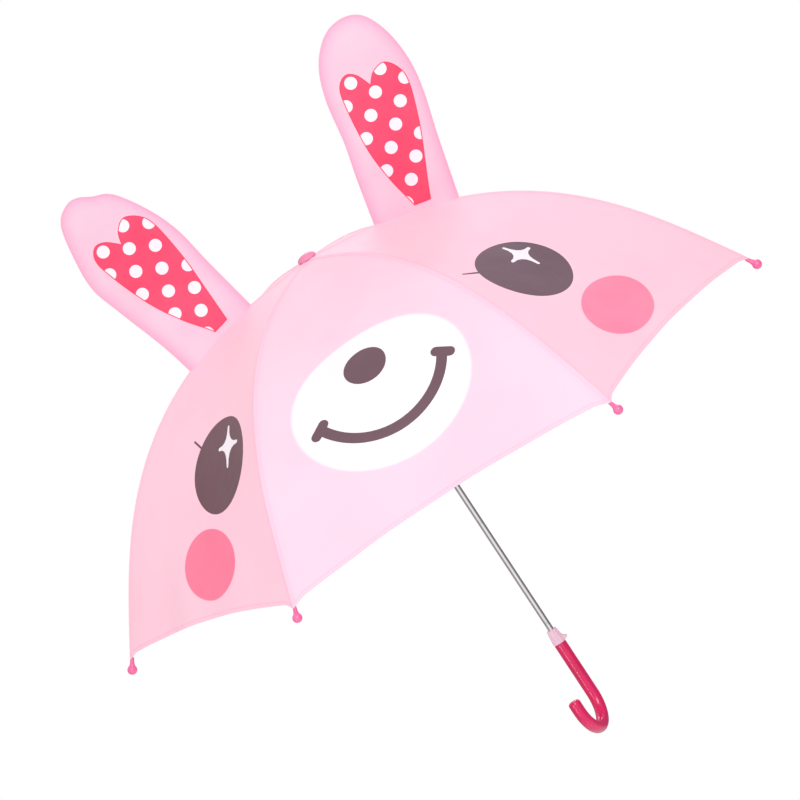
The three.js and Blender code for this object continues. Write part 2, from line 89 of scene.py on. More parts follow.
HEM_SCALLOP = 11.0          # how much shorter the cloth is between two ribs
HEM_BAND = 5.0              # width of the turned-up hem
CORNER_REACH = 4.5          # the cloth drawn out to a point at each tip
SAG = 7.0                   # saddle of the stretched cloth between two ribs
CLOTH = 0.45                # thickness of the cloth
FACING_START = 4.0          # a facing, a crescent of cloth, begins this far above each joint of two bands
FACING_AT_RIB = 4.5         # the width of the crescent at a rib
FACING_SWELL = 16.0         # how much wider it is in the middle of a gore
HUB_DEPTH = 4.2             # a rib's line at the axis, under the cap's rim
CROWN_RISE = 1.6            # the cloth lifted over the notch
CROWN_REACH = 16.0          # how far from the axis that fades away
# bands of cloth from the hub to the hem: first arc, last arc, share of the width left when folded
BANDS = {
    "hub": (HUB_ARC, 52.0, 0.60),
    "crown": (52.0, 112.0, 0.36),
    "shoulder": (112.0, JOINT_ARC, 0.24),
    "waist": (JOINT_ARC, 322.0, 0.16),
    "skirt": (322.0, 390.0, 0.17),
    "border": (390.0, HEM_ARC, 0.135),
}
INNER_BANDS = ("hub", "crown", "shoulder")
OUTER_BANDS = ("waist", "skirt", "border")
GORES = range(1, 7)
SIDES = {"near": -1, "far": 1}   # halves of a gore: toward its lower and its higher rib
COS30 = math.cos(math.radians(30))

# the cap, the tips, the collar and the handle
CAP_RADIUS = 9.9
CAP_TOP = 2.2               # the top of the dome above the cap's rim
CAP_DOME = 4.9              # the height of the dome
TIP_RADIUS = 4.9
TIP_DROP = 2.2              # how far a tip's middle lies under the line of its rib
COLLAR_TOP = 445.0          # depth of the collar's top under the cap's rim
COLLAR_LEVELS = [(0.0, 4.7), (0.5, 5.15), (1.6, 5.4), (5.0, 5.8), (9.0, 6.2), (15.7, 6.7)]
COLLAR_BORE = 3.2
COLLAR_FLUTES = 12
TAB_MIDDLE = (7.0, 11.5)    # out from the axis, and down from the collar's top
HANDLE_RADIUS = 6.3
HANDLE_TOP = 26.0
HOOK_RADIUS = 28.0
HOOK_CENTRE = -33.0         # height of the middle of the hook's half circle
HOOK_LEG = 10.0             # the short leg above that height
HOOK_AZIMUTH = math.radians(-109.5)


# ---------------------------------------------------------------- shape of the canopy
def rib_slope(s):
    """Downward slope of a rib at arc s from the axis, in radians."""
    t = np.asarray(s, float) / RIB_ARC
    start, gain, extra = RIB_SLOPES
    return np.radians(start + gain * (1 - np.cos(np.pi * t)) / 2 + extra * np.sin(np.pi * t))


ARCS = np.arange(0.0, 481.0)
STEP_SLOPES = rib_slope(ARCS[:-1] + 0.5)
RIB_RADII = np.concatenate(([0.0], np.cumsum(np.cos(STEP_SLOPES))))
RIB_DEPTHS = HUB_DEPTH + np.concatenate(([0.0], np.cumsum(np.sin(STEP_SLOPES))))


def rib_radius(s):
    return np.interp(s, ARCS, RIB_RADII)


def rib_height(s):
    rise = CROWN_RISE * np.exp(-((rib_radius(s) / CROWN_REACH) ** 2))
    return CAP_HEIGHT - np.interp(s, ARCS, RIB_DEPTHS) + rise


def arc_at(radius):
    return np.interp(radius, RIB_RADII, ARCS)


def rib_azimuth(k):
    return math.radians(-60 + 60 * (k - 1))


def gore_azimuth(k):
    return math.radians(-90 + 60 * (k - 1))


def half_width(s):
    return rib_radius(s) / 2


def hem_arc(f):
    """Arc of the hem at share f of the way from the middle of a gore to its rib."""
    corner = np.clip((np.abs(f) - 0.92) / 0.08, 0, 1) ** 1.4
    return HEM_ARC - HEM_SCALLOP * (1 - np.square(f)) + CORNER_REACH * corner


# slack waves in the cloth: height, length along and across (over 2 pi), shift from gore to gore
WAVES = [(0.55, 34, 58, 1.7), (0.45, 61, -37, 2.9), (0.22, 19, -15, 0.9), (0.18, 13, 23, 2.2)]


def ripples(k, s, x):
    """Soft slack waves in the stretched cloth, and a flutter along the hem."""
    slack = sum(height * np.sin(s / along + x / across + shift * k) for height, along, across, shift in WAVES)
    near_hem = np.clip((s - 320) / 136, 0, 1) ** 2
    return slack * np.clip(s / 120, 0, 1) + 1.3 * near_hem * np.sin(x / 17 + 2.3 * k)


def gore_point(k, s, x):
    """Points of gore k's cloth at arcs s and distances x across from its middle."""
    s, x = np.broadcast_arrays(np.asarray(s, float), np.asarray(x, float))
    radius = rib_radius(s)
    f = x / half_width(s)
    normal_out = np.sin(rib_slope(s))
    normal_up = COS30 * np.cos(rib_slope(s))
    size = np.hypot(normal_out, normal_up)
    inward = (1 - f * f) * (SAG * np.sin(np.pi * s / HEM_ARC) + ripples(k, s, x))
    out = radius * COS30 - inward * normal_out / size
    up = rib_height(s) - inward * normal_up / size
    a = gore_azimuth(k)
    return np.stack((out * math.cos(a) - x * math.sin(a), out * math.sin(a) + x * math.cos(a), up), -1)


def unit(vectors):
    vectors = np.asarray(vectors, float)
    return vectors / np.linalg.norm(vectors, axis=-1, keepdims=True)


def gore_along(k, s, x):
    return unit(gore_point(k, np.add(s, 1), x) - gore_point(k, np.subtract(s, 1), x))


def gore_normal(k, s, x):
    across = gore_point(k, s, np.add(x, 1)) - gore_point(k, s, np.subtract(x, 1))
    return unit(np.cross(gore_along(k, s, x), across))


def on_gore(k, s, x, lift):
    """Points a distance lift above gore k's cloth."""
    lift = np.asarray(lift, float)[..., None]
    return gore_point(k, s, x) + gore_normal(k, s, x) * lift


# ---------------------------------------------------------------- mesh helpers
class Shape:
    """Points and faces of one piece, gathered part by part, in millimetres."""

    def __init__(self, *part):
        self.points = []
        self.faces = []
        self.slots = []
        self.uvs = []
        self.normals = []
        # painted shade, one value per point
        self.painted_shades = []
        if part:
            self.add(*part)

    def add(self, points, faces, slot=0, uvs=None, normals=None, painted_shades=None):
        start = len(self.points)
        self.points.extend(tuple(p) for p in points)
        self.faces.extend(tuple(start + i for i in face) for face in faces)
        self.slots.extend(slot if hasattr(slot, "__len__") else [slot] * len(faces))
        self.uvs.extend(uvs if uvs is not None else [(p[0] / 1000 + 0.5, p[2] / 1000 + 0.2) for p in points])
        self.normals.extend(normals if normals is not None else [])
        self.painted_shades.extend(painted_shades if painted_shades is not None else [])


def build(name, shape, materials, body, sharp=40):
    """A Blender object from a shape, riding on a body."""
    mesh = bpy.data.meshes.new(name)
    mesh.from_pydata([tuple(c / 1000 for c in p) for p in shape.points], [], shape.faces)
    for material in materials:
        mesh.materials.append(material)
    mesh.polygons.foreach_set("material_index", shape.slots)
    mesh.polygons.foreach_set("use_smooth", [True] * len(mesh.polygons))
    uv_layer = mesh.uv_layers.new(name="UVMap")
    corner_vertices = np.zeros(len(mesh.loops), int)
    mesh.loops.foreach_get("vertex_index", corner_vertices)
    uv_layer.data.foreach_set("uv", np.array(shape.uvs, float)[corner_vertices].ravel())
    mesh.update()
    # painted shade per point, which the cloth materials darken by
    if shape.painted_shades:
        shade = mesh.attributes.new("painted_edge_shade", "FLOAT", "POINT")
        shade.data.foreach_set("value", np.array(shape.painted_shades, np.float32))
    if shape.normals:
        mesh.normals_split_custom_set_from_vertices([tuple(n) for n in shape.normals])
    else:
        work = bmesh.new()
        work.from_mesh(mesh)
        bmesh.ops.recalc_face_normals(work, faces=work.faces)
        work.to_mesh(mesh)
        work.free()
        mesh.set_sharp_from_angle(angle=math.radians(sharp))
    piece = bpy.data.objects.new(name, mesh)
    bpy.context.collection.objects.link(piece)
    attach(piece, body)
    return piece


def loft(rows, cyclic=False):
    """Points and faces of a closed tube through rows of points; each row is one closed section."""
    rows = np.asarray(rows, float)
    count, size = rows.shape[:2]
    faces = []
    for i in range(count if cyclic else count - 1):
        a = i * size
        b = (i + 1) % count * size
        for j in range(size):
            n = (j + 1) % size
            faces.append((a + j, a + n, b + n, b + j))
    if not cyclic:
        faces.append(tuple(reversed(range(size))))
        faces.append(tuple(range((count - 1) * size, count * size)))
    return rows.reshape(-1, 3), faces


def turned(profile, origin, axis, segments=40, side=None):
    """A solid of revolution. The profile is (radius, along) from the axis back to the axis."""
    axis = Vector(axis).normalized()
    side = Vector(axis.orthogonal() if side is None else side).normalized()
    other = axis.cross(side)
    points = [Vector(origin) + axis * profile[0][1]]
    for radius, along in profile[1:-1]:
        for i in range(segments):
            angle = 2 * math.pi * i / segments
            spoke = side * math.cos(angle) + other * math.sin(angle)
            points.append(Vector(origin) + axis * along + spoke * radius)
    points.append(Vector(origin) + axis * profile[-1][1])
    rings = len(profile) - 2
    last = len(points) - 1
    faces = []
    for i in range(segments):
        n = (i + 1) % segments
        faces.append((0, 1 + n, 1 + i))
        for ring in range(rings - 1):
            a = 1 + ring * segments
            faces.append((a + i, a + n, a + segments + n, a + segments + i))
        end = 1 + (rings - 1) * segments
        faces.append((last, end + i, end + n))
    return [tuple(p) for p in points], faces


def tube(path, radius, normals, sides=8, flatten=1.0, cyclic=False):
    """A round cord along a path, lying on a surface with these normals."""
    path = np.asarray(path, float)
    normals = unit(normals)
    if cyclic:
        tangents = np.roll(path, -1, 0) - np.roll(path, 1, 0)
    else:
        tangents = np.gradient(path, axis=0)
    side = unit(np.cross(unit(tangents), normals))
    rows = []
    for point, out, up in zip(path, side, normals):
        angles = [2 * math.pi * i / sides for i in range(sides)]
        rows.append([point + radius * (math.cos(a) * out + flatten * math.sin(a) * up) for a in angles])
    return loft(rows, cyclic)


STITCH = [(0.0, -1.0), (0.7, -0.7), (1.0, 0.0), (0.7, 0.7), (0.0, 1.0)]


def stitches(path, normals, pitch=3.2, length=2.2, radius=0.26):
    """A row of small raised stitches along a path on a surface."""
    path = np.asarray(path, float)
    steps = np.linalg.norm(np.diff(path, axis=0), axis=1)
    arcs = np.concatenate(([0.0], np.cumsum(steps)))
    profile = [(across * radius, along * length / 2) for across, along in STITCH]
    count = max(1, int(arcs[-1] / pitch))
    points = []
    faces = []
    for i in range(count):
        at = (i + 0.5) * arcs[-1] / count
        centre, ahead = (np.array([np.interp(arc, arcs, c) for c in path.T]) for arc in (at, at + 0.5))
        up = unit([np.interp(at, arcs, c) for c in np.transpose(normals)])
        along = unit(ahead - centre)
        own_points, own_faces = turned(profile, centre, along, 6, np.cross(along, up))
        faces.extend(tuple(len(points) + corner for corner in face) for face in own_faces)
        points.extend(own_points)
    return points, faces


def closed_faces(faces, count):
    """Faces of a closed sheet: these, the same ones on the layer count points on, and the rim."""
    edges = dict.fromkeys(edge for face in faces for edge in zip(face, face[1:] + face[:1]))
    under = [tuple(count + i for i in reversed(face)) for face in faces]
    rim = [(b, a, a + count, b + count) for a, b in edges if (b, a) not in edges]
    return list(faces) + under + rim, len(rim)


def sheet_shell(points, normals, faces, thickness):
    """A closed thin sheet: points, normals, faces, and how many of the last faces are its rim."""
    all_faces, rim = closed_faces(faces, len(points))
    layers = np.concatenate((points, points - normals * thickness))
    return layers, np.concatenate((normals, -normals)), all_faces, rim


def facing_out(points, normals, faces):
    """The faces, turned over if they face against the normals."""
    a, b, c = (points[i] for i in faces[0][:3])
    if np.dot(np.cross(b - a, c - a), normals[faces[0][0]]) < 0:
        return [tuple(reversed(face)) for face in faces]
    return faces


def grid_faces(rows, columns):
    """Quads over a grid of points that are listed row by row."""
    corners = [i * columns + j for i in range(rows - 1) for j in range(columns - 1)]
    return [(a, a + 1, a + columns + 1, a + columns) for a in corners]


def halved(quads):
    return [face for a, b, c, d in quads for face in ((a, b, c), (a, c, d))]


# ---------------------------------------------------------------- flat outlines
def ellipse(centre, half, tilt=0.0, pitch=4.0):
    """A closed outline; centre, half and the result are (arc, across)."""
    count = max(16, int(math.pi * (half[0] + half[1]) / pitch))
    c, s = math.cos(math.radians(tilt)), math.sin(math.radians(tilt))
    points = []
    for i in range(count):
        angle = 2 * math.pi * i / count
        a = half[0] * math.cos(angle)
        b = half[1] * math.sin(angle)
        points.append((centre[0] + a * c - b * s, centre[1] + a * s + b * c))
    return points


def arc_points(centre, radius, first, last, count):
    return [(centre[0] + radius * math.cos(a), centre[1] + radius * math.sin(a))
            for a in np.linspace(first, last, count)]


def stroke(start, end, width_start, width_end):
    """The outline of a straight stroke with round ends."""
    along = math.atan2(end[1] - start[1], end[0] - start[0])
    quarter = math.pi / 2
    return (arc_points(end, width_end / 2, along - quarter, along + quarter, 7)
            + arc_points(start, width_start / 2, along + quarter, along + 3 * quarter, 7))


def curved_band(centre, radius, width, half_angle):
    """The outline of a band along an arc of a circle that bulges toward greater arcs."""
    return (arc_points(centre, radius + width / 2, -half_angle, half_angle, 33)
            + arc_points(centre, radius - width / 2, half_angle, -half_angle, 33))


def square_to(direction, toward):
    """The unit vector square to a flat direction, on the side that something else is toward."""
    side = np.array((-direction[1], direction[0]))
    return side if np.dot(side, toward) >= 0 else -side


def four_point_star(centre, tips, waist=2.0, blunt=1.9):
    """Four concave points with blunt tips: top, right, bottom and left."""
    points = []
    centre = np.array(centre, float)
    for i, tip in enumerate(tips):
        tip = np.array(tip, float)
        after = np.array(tips[(i + 1) % 4], float)
        toward = unit(tip - centre)
        side = square_to(toward, after - centre)
        for share in (-1, -0.5, 0.5, 1):
            points.append(tuple(tip - toward * blunt * share * share + side * blunt * share))
        notch = centre + waist * unit(unit(tip - centre) + unit(after - centre))
        leave = np.array(points[-1])
        away = unit(after - centre)
        arrive = after - away * blunt + square_to(away, tip - centre) * blunt
        for t in (0.2, 0.4, 0.6, 0.8):
            points.append(tuple((1 - t) ** 2 * leave + 2 * t * (1 - t) * notch + t * t * arrive))
    return points


def spline(points, pitch=3.0):
    """A smooth open curve through points."""
    points = [np.array(p, float) for p in points]
    padded = [2 * points[0] - points[1], *points, 2 * points[-1] - points[-2]]
    curve = []
    for a, b, c, d in zip(padded, padded[1:], padded[2:], padded[3:]):
        count = max(2, int(np.linalg.norm(c - b) / pitch))
        for i in range(count):
            t = i / count
            curve.append(0.5 * (2 * b + (c - a) * t + (2 * a - 5 * b + 4 * c - d) * t ** 2
                                + (3 * b - 3 * c + d - a) * t ** 3))
    curve.append(points[-1])
    return [tuple(p) for p in curve]


def inside(points, outline):
    """Which points lie inside a closed outline."""
    points = np.asarray(points, float)
    corners = np.asarray(outline, float)
    after = np.roll(corners, -1, 0)
    found = np.zeros(len(points), bool)
    for (ax, ay), (bx, by) in zip(corners, after):
        if ay == by:
            continue
        crosses = (ay > points[:, 1]) != (by > points[:, 1])
        at = ax + (points[:, 1] - ay) * (bx - ax) / (by - ay)
        found ^= crosses & (points[:, 0] < at)
    return found


def edge_distance(points, lines):
    """Distance of each point from the nearest of these lines, each a list of points."""
    points = np.asarray(points, float)
    nearest = np.full(len(points), 1e9)
    for line in lines:
        line = np.asarray(line, float)
        for a, b in zip(line[:-1], line[1:]):
            ab = b - a
            share = np.clip((points - a) @ ab / max(ab @ ab, 1e-9), 0, 1)
            gap = np.linalg.norm(points - a - share[:, None] * ab, axis=1)
            nearest = np.minimum(nearest, gap)
    return nearest


def triangulate(boundary, lines, pitch):
    """Triangles of the area inside a boundary whose edges follow the lines."""
    closed = [list(boundary) + [boundary[0]], *lines]
    corners = np.asarray(boundary, float)
    low, high = corners.min(0), corners.max(0)
    rows = []
    row_gap = pitch * 0.866
    for j in range(int((high[0] - low[0]) / row_gap) + 2):
        shift = pitch / 2 * (j % 2)
        half = int((high[1] - low[1]) / pitch) + 2
        middle = (low[1] + high[1]) / 2
        rows.extend((low[0] + j * row_gap, middle + i * pitch + shift) for i in range(-half, half))
    grid = np.array(rows)
    grid = grid[inside(grid, boundary)]
    grid = grid[edge_distance(grid, closed) > 0.5 * pitch]
    vertices = [Vector(p) for p in grid]
    edges = []
    for line in closed:
        first = len(vertices)
        vertices.extend(Vector(p) for p in line)
        edges.extend((first + i, first + i + 1) for i in range(len(line) - 1))
    found, _, faces, _, _, _ = geometry.delaunay_2d_cdt(vertices, edges, [], 0, 1e-4)
    flat = np.array([tuple(v) for v in found])
    faces = [tuple(face) for face in faces]
    centres = np.array([flat[list(face)].mean(0) for face in faces])
    keep = inside(centres, boundary)
    faces = [face for face, kept in zip(faces, keep) if kept]
    return flat, faces, centres[keep]


def chosen(flat, faces, wanted):
    """Only the wanted faces, with their own points."""
    picked = [face for face, w in zip(faces, wanted) if w]
    used = sorted({i for face in picked for i in face})
    place = {old: new for new, old in enumerate(used)}
    return flat[used], [tuple(place[i] for i in face) for face in picked]


# ---------------------------------------------------------------- materials
def srgb(r, g, b):
    """Linear colour of a screen colour given from 0 to 255."""
    def linear(c):
        c /= 255
        return c / 12.92 if c <= 0.04045 else ((c + 0.055) / 1.055) ** 2.4
    return (linear(r), linear(g), linear(b), 1.0)


def shaded(colour, factor):
    return tuple(c * factor for c in colour[:3]) + (1.0,)


class Nodes:
    """A node tree with a few helpers for its nodes."""

    def __init__(self, tree):
        self.tree = tree

    def node(self, kind, **settings):
        node = self.tree.nodes.new(kind)
        for name, value in settings.items():
            setattr(node, name, value)
        return node

    def link(self, source, target):
        self.tree.links.new(source, target)

    def math(self, operation, *values):
        node = self.node("ShaderNodeMath", operation=operation)
        for value, socket in zip(values, node.inputs):
            self.link(value, socket)
        return node.outputs[0]

    def coordinates(self, output="Object"):
        return self.node("ShaderNodeTexCoord").outputs[output]

    def noise(self, scale, detail=3.0, source=None):
        node = self.node("ShaderNodeTexNoise")
        node.inputs["Scale"].default_value = scale
        node.inputs["Detail"].default_value = detail
        self.link(source or self.coordinates(), node.inputs["Vector"])
        return node.outputs["Fac"]

    def mix(self, factor, first, second):
        """Colour between first and second, each a colour or a socket."""
        node = self.node("ShaderNodeMix", data_type="RGBA")
        self.link(factor, node.inputs["Factor"])
        for socket, value in ((node.inputs[6], first), (node.inputs[7], second)):
            if isinstance(value, tuple):
                socket.default_value = value
            else:
                self.link(value, socket)
        return node.outputs[2]

    def range(self, value, low, high, to_low=0.0, to_high=1.0):
        node = self.node("ShaderNodeMapRange", interpolation_type="SMOOTHSTEP")
        self.link(value, node.inputs["Value"])
        for name, number in (("From Min", low), ("From Max", high), ("To Min", to_low), ("To Max", to_high)):
            node.inputs[name].default_value = number
        return node.outputs["Result"]

    def bump(self, height, distance, strength=1.0, under=None):
        node = self.node("ShaderNodeBump")
        node.inputs["Distance"].default_value = distance
        node.inputs["Strength"].default_value = strength
        self.link(height, node.inputs["Height"])
        if under is not None:
            self.link(under, node.inputs["Normal"])
        return node.outputs["Normal"]


class Material(Nodes):
    """A Principled material."""

    def __init__(self, name):
        self.data = bpy.data.materials.new(name)
        self.data.use_nodes = True
        super().__init__(self.data.node_tree)
        self.shader = self.tree.nodes["Principled BSDF"]

    def put(self, **values):
        for name, value in values.items():
            self.shader.inputs[name.replace("_", " ")].default_value = value


def fabric(name, colour, deep, blend_to=None, outline=None, soft=0.93, weave=0.62, crinkle=0.0011,
           edge=0.9):
    """Woven cloth, with painted shade beside seams that darkens it to its edge share. Colours run from 0 to
    255.

    A print fades to blend_to at its outline, (centre, half, tilt) in (arc, across).
    """
    m = Material(name)
    colour = srgb(*colour)
    tone = m.mix(m.range(m.noise(11.0), 0.35, 0.7), colour, srgb(*deep))
    # painted shade: darker toward the seams and the ear outlines, by the share held in a point attribute
    beside = m.node("ShaderNodeAttribute", attribute_name="painted_edge_shade")
    tone = m.mix(beside.outputs["Fac"], tone, (colour[0], colour[1] * edge, colour[2] * (edge + 1) / 2, 1.0))
    if outline is not None:
        centre, half, tilt = outline
        mapping = m.node("ShaderNodeMapping", vector_type="TEXTURE")
        mapping.inputs["Location"].default_value = (centre[1] / 1000 + 0.5, centre[0] / 1000, 0)
        mapping.inputs["Rotation"].default_value = (0, 0, -math.radians(tilt))
        mapping.inputs["Scale"].default_value = (half[1] / 1000, half[0] / 1000, 1)
        m.link(m.coordinates("UV"), mapping.inputs["Vector"])
        length = m.node("ShaderNodeVectorMath", operation="LENGTH")
        m.link(mapping.outputs["Vector"], length.inputs[0])
        tone = m.mix(m.range(length.outputs["Value"], soft, 1.0), tone, srgb(*blend_to))
    threads = []
    for direction in "XY":
        wave = m.node("ShaderNodeTexWave", bands_direction=direction)
        wave.inputs["Scale"].default_value = 314 / weave
        m.link(m.coordinates("UV"), wave.inputs["Vector"])
        threads.append(wave.outputs["Fac"])
    weave_height = m.math("MULTIPLY", *threads)
    thread_tone = m.mix(m.range(weave_height, 0.0, 1.0, 0.0, 0.12), tone, shaded(colour, 0.8))
    creases = m.bump(m.noise(46.0, 5.0), crinkle, 0.6)
    m.link(thread_tone, m.shader.inputs["Base Color"])
    m.link(m.bump(weave_height, 0.00006, 0.5, creases), m.shader.inputs["Normal"])
    m.link(m.range(m.noise(30.0), 0.3, 0.7, 0.68, 0.8), m.shader.inputs["Roughness"])
    m.put(Sheen_Weight=0.18, Sheen_Roughness=0.45, Specular_IOR_Level=0.3)
    return m.data


def plastic(name, colour, deep, roughness, coat=0.0, grain=0.25):
    """Moulded plastic with a slightly uneven tone and surface."""
    m = Material(name)
    tone = m.mix(m.range(m.noise(38.0), 0.35, 0.7), srgb(*colour), srgb(*deep))
    m.link(tone, m.shader.inputs["Base Color"])
    m.link(m.range(m.noise(150.0), 0.3, 0.7, roughness, roughness + 0.08), m.shader.inputs["Roughness"])
    m.link(m.bump(m.noise(220.0, 2.0), 0.00012, grain), m.shader.inputs["Normal"])
    m.put(Coat_Weight=coat, Coat_Roughness=0.16, IOR=1.46)
    return m.data


def metal(name, colour, roughness):
    """Plated steel wire and sheet, with drawn streaks and small marks."""
    m = Material(name)
    colour = srgb(*colour)
    mapping = m.node("ShaderNodeMapping")
    mapping.inputs["Scale"].default_value = (1.0, 1.0, 0.06)
    m.link(m.coordinates(), mapping.inputs["Vector"])
    streaks = m.noise(900.0, 2.0, mapping.outputs["Vector"])
    marks = m.range(m.noise(70.0, 6.0), 0.52, 0.75)
    m.link(m.mix(marks, colour, shaded(colour, 0.7)), m.shader.inputs["Base Color"])
    m.link(m.range(streaks, 0.2, 0.8, roughness, roughness + 0.06), m.shader.inputs["Roughness"])
    m.link(m.bump(streaks, 0.00001, 0.15), m.shader.inputs["Normal"])
    m.put(Metallic=1.0)
    return m.data


PINK = (247, 197, 213)
PINK_DEEP = (246, 193, 210)
cloth = fabric("cloth_pink", PINK, PINK_DEEP)
cloth_inside = fabric("cloth_pink_inside", (245, 202, 217), (242, 194, 210))
cloth_hem = fabric("cloth_pink_hem", (247, 195, 212), (246, 191, 209))
cloth_seam = fabric("cloth_pink_seam", (246, 193, 210), (244, 186, 204))
thread = fabric("sewing_thread", (245, 190, 208), (242, 184, 203), weave=0.3)
print_inside = fabric("print_through", (214, 178, 192), (208, 170, 186))
cheek_inside = fabric("cheek_through", (246, 180, 202), (242, 172, 196))

MUZZLE = ((309.5, 0.0), (84.0, 97.0), 0.0)
LEFT_CHEEK = ((391.0, 15.0), (37.0, 57.0), -5.0)
RIGHT_CHEEK = ((394.0, -19.0), (36.5, 57.0), 4.0)
muzzle_white = fabric("print_white", (236, 228, 235), (234, 225, 233), PINK, MUZZLE, 0.955)
# the left cheek and left eye are darker copies of the right ones' colours: painted shade of the left gore
left_cheek_pink_shaded = fabric("print_cheek_left_painted_shade", (247, 122, 152), (244, 112, 145), PINK, LEFT_CHEEK, 0.97)
right_cheek_pink = fabric("print_cheek_right", (245, 137, 166), (242, 127, 160), PINK, RIGHT_CHEEK, 0.97)
left_eye_brown_shaded = fabric("print_brown_left_painted_shade", (104, 66, 77), (98, 60, 72))
right_eye_brown = fabric("print_brown_right", (108, 81, 92), (101, 74, 86))
mouth_brown = fabric("print_brown_front", (108, 82, 90), (102, 76, 85))
star_white = fabric("print_star", (240, 230, 236), (237, 226, 233))
# the ear darkens toward its seam by painted shade, deeper than the cloth's
ear_pink = fabric("ear_plush", (247, 189, 206), (245, 180, 199), crinkle=0.0016, edge=0.74)
# the piping's deeper pink is partly its own colour and partly painted shade of the ear's rounded edge
ear_piping_shaded = fabric("ear_piping_painted_shade", (244, 168, 194), (240, 158, 187))
heart_red = fabric("heart_print", (247, 78, 110), (240, 64, 98), crinkle=0.0018)
dot_white = fabric("heart_dots", (240, 226, 230), (236, 218, 225))
strap_pink = fabric("strap_webbing", (243, 188, 211), (239, 180, 205), weave=1.1)
tip_pink = plastic("tip_pink", (240, 104, 158), (234, 92, 148), 0.28, 0.4)
cap_pink = plastic("cap_pink", (230, 138, 174), (223, 128, 166), 0.62, grain=0.05)
handle_red = plastic("handle_magenta", (210, 14, 90), (200, 10, 80), 0.24, 0.5, 0.02)
collar_pink = plastic("collar_clear_pink", (228, 192, 208), (222, 184, 202), 0.3, 0.1, 0.03)
inner_white = plastic("inner_white_plastic", (238, 234, 236), (230, 225, 229), 0.35)
chrome = metal("shaft_chrome", (252, 250, 252), 0.08)
steel = metal("rib_steel", (205, 206, 210), 0.24)


# ---------------------------------------------------------------- the ribs that each panel rides on
def rib_frame(k):
    a = rib_azimuth(k)
    out = np.array((math.cos(a), math.sin(a), 0.0))
    along = np.array((-math.sin(a), math.cos(a), 0.0))
    return out, along


def fold_with(piece):
    """Gives the piece its own copy of its mesh."""
    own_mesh(piece)


def band_body(band, rib):
    return f"rib_inner_{rib}" if band in INNER_BANDS else f"rib_outer_{rib}"


def rib_beside(k, side):
    """The rib on the far (+1) or near (-1) side of gore k."""
    return k if side > 0 else (k - 2) % 6 + 1


# ---------------------------------------------------------------- prints on the outer panels
LEFT_STAR = four_point_star((271.5, 54.5), [(248, 49), (270.5, 77), (297, 57.5), (273, 33)])
RIGHT_STAR = four_point_star((278, -13.5), [(255, -11.5), (279, 7), (302, -17), (277, -35)])
MOUTH_ANGLE = math.atan2(70, 310 - 278)
PRINTS = {
    1: [
        (ellipse(*MUZZLE), muzzle_white, cloth_inside),
        (ellipse((270, -1), (21.5, 22.8)), mouth_brown, print_inside),
        (curved_band((278, 0), 76.9, 11.5, MOUTH_ANGLE), mouth_brown, print_inside),
        (stroke((306, 64.5), (315.5, 77), 10.5, 10.5), mouth_brown, print_inside),
        (stroke((306, -64.5), (315.5, -77), 10.5, 10.5), mouth_brown, print_inside),
    ],
    2: [
        (ellipse((292, -36), (52, 55.5)), right_eye_brown, print_inside),
        (RIGHT_STAR, star_white, cloth_inside),
        (stroke((246, -92), (259, -76), 2.5, 4), right_eye_brown, print_inside),
        (ellipse(*RIGHT_CHEEK), right_cheek_pink, cheek_inside),
    ],
    6: [
        (ellipse((289.5, 39.5), (52.7, 55.5)), left_eye_brown_shaded, print_inside),
        (LEFT_STAR, star_white, cloth_inside),
        (stroke((254, -25), (265, -6), 2.5, 2.5), left_eye_brown_shaded, print_inside),
        (ellipse(*LEFT_CHEEK), left_cheek_pink_shaded, cheek_inside),
    ],
}


# ---------------------------------------------------------------- cloth panels
def flat_uvs(flat):
    return [(x / 1000 + 0.5, s / 1000) for s, x in flat]


def painted_seam_shade(flat):
    """1 on a seam over a rib, fading to 0 a little way in from it: the strength of the painted shade there.
    """
    to_rib = half_width(flat[:, 0]) - np.abs(flat[:, 1])
    return np.clip(1 - to_rib / 11, 0, 1) ** 2


def make_panel(k, side_name, band, flat, faces, looks):
    """A closed panel of cloth on one side of a gore, with the facing under its lower edge."""
    side = SIDES[side_name]
    points = gore_point(k, flat[:, 0], flat[:, 1])
    normals = gore_normal(k, flat[:, 0], flat[:, 1])
    faces = facing_out(points, normals, faces)
    all_points, all_normals, all_faces, rim = sheet_shell(points, normals, faces, CLOTH)
    materials = []
    for pair in looks:
        materials.extend(m for m in pair if m not in materials)
    slots = [materials.index(front) for front, back in looks]
    slots += [materials.index(back) for front, back in looks]
    slots += [materials.index(looks[0][1])] * rim
    shape = Shape()
    uvs = flat_uvs(flat)
    # painted shade beside the seams
    painted_shades = list(painted_seam_shade(flat))
    shape.add(all_points, all_faces, slots, uvs + uvs, all_normals, painted_shades + painted_shades)
    (width, length), area = flat_size(flat, faces)
    if band != "border":
        area += add_facing(shape, k, side, BANDS[band][1], materials.index(looks[0][1]))
        length += (FACING_AT_RIB + FACING_SWELL) / 1000
    rib = rib_beside(k, side)
    piece = build(f"gore_{band}_{k}_{side_name}", shape, materials, band_body(band, rib))
    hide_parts(f"gore_inner_{k}" if band in INNER_BANDS else f"gore_outer_{k}")
    fold_with(piece)
    trims = [make_hem(k, side_name, side, rib)] if band == "border" else []


FACING_SHARES = np.linspace(0, 0.96, 11)   # from the middle of the gore toward its rib
FACING_STEPS = np.linspace(0, 1, 5)        # from the facing's upper edge to its lower edge
FACING = 0.3                               # its thickness


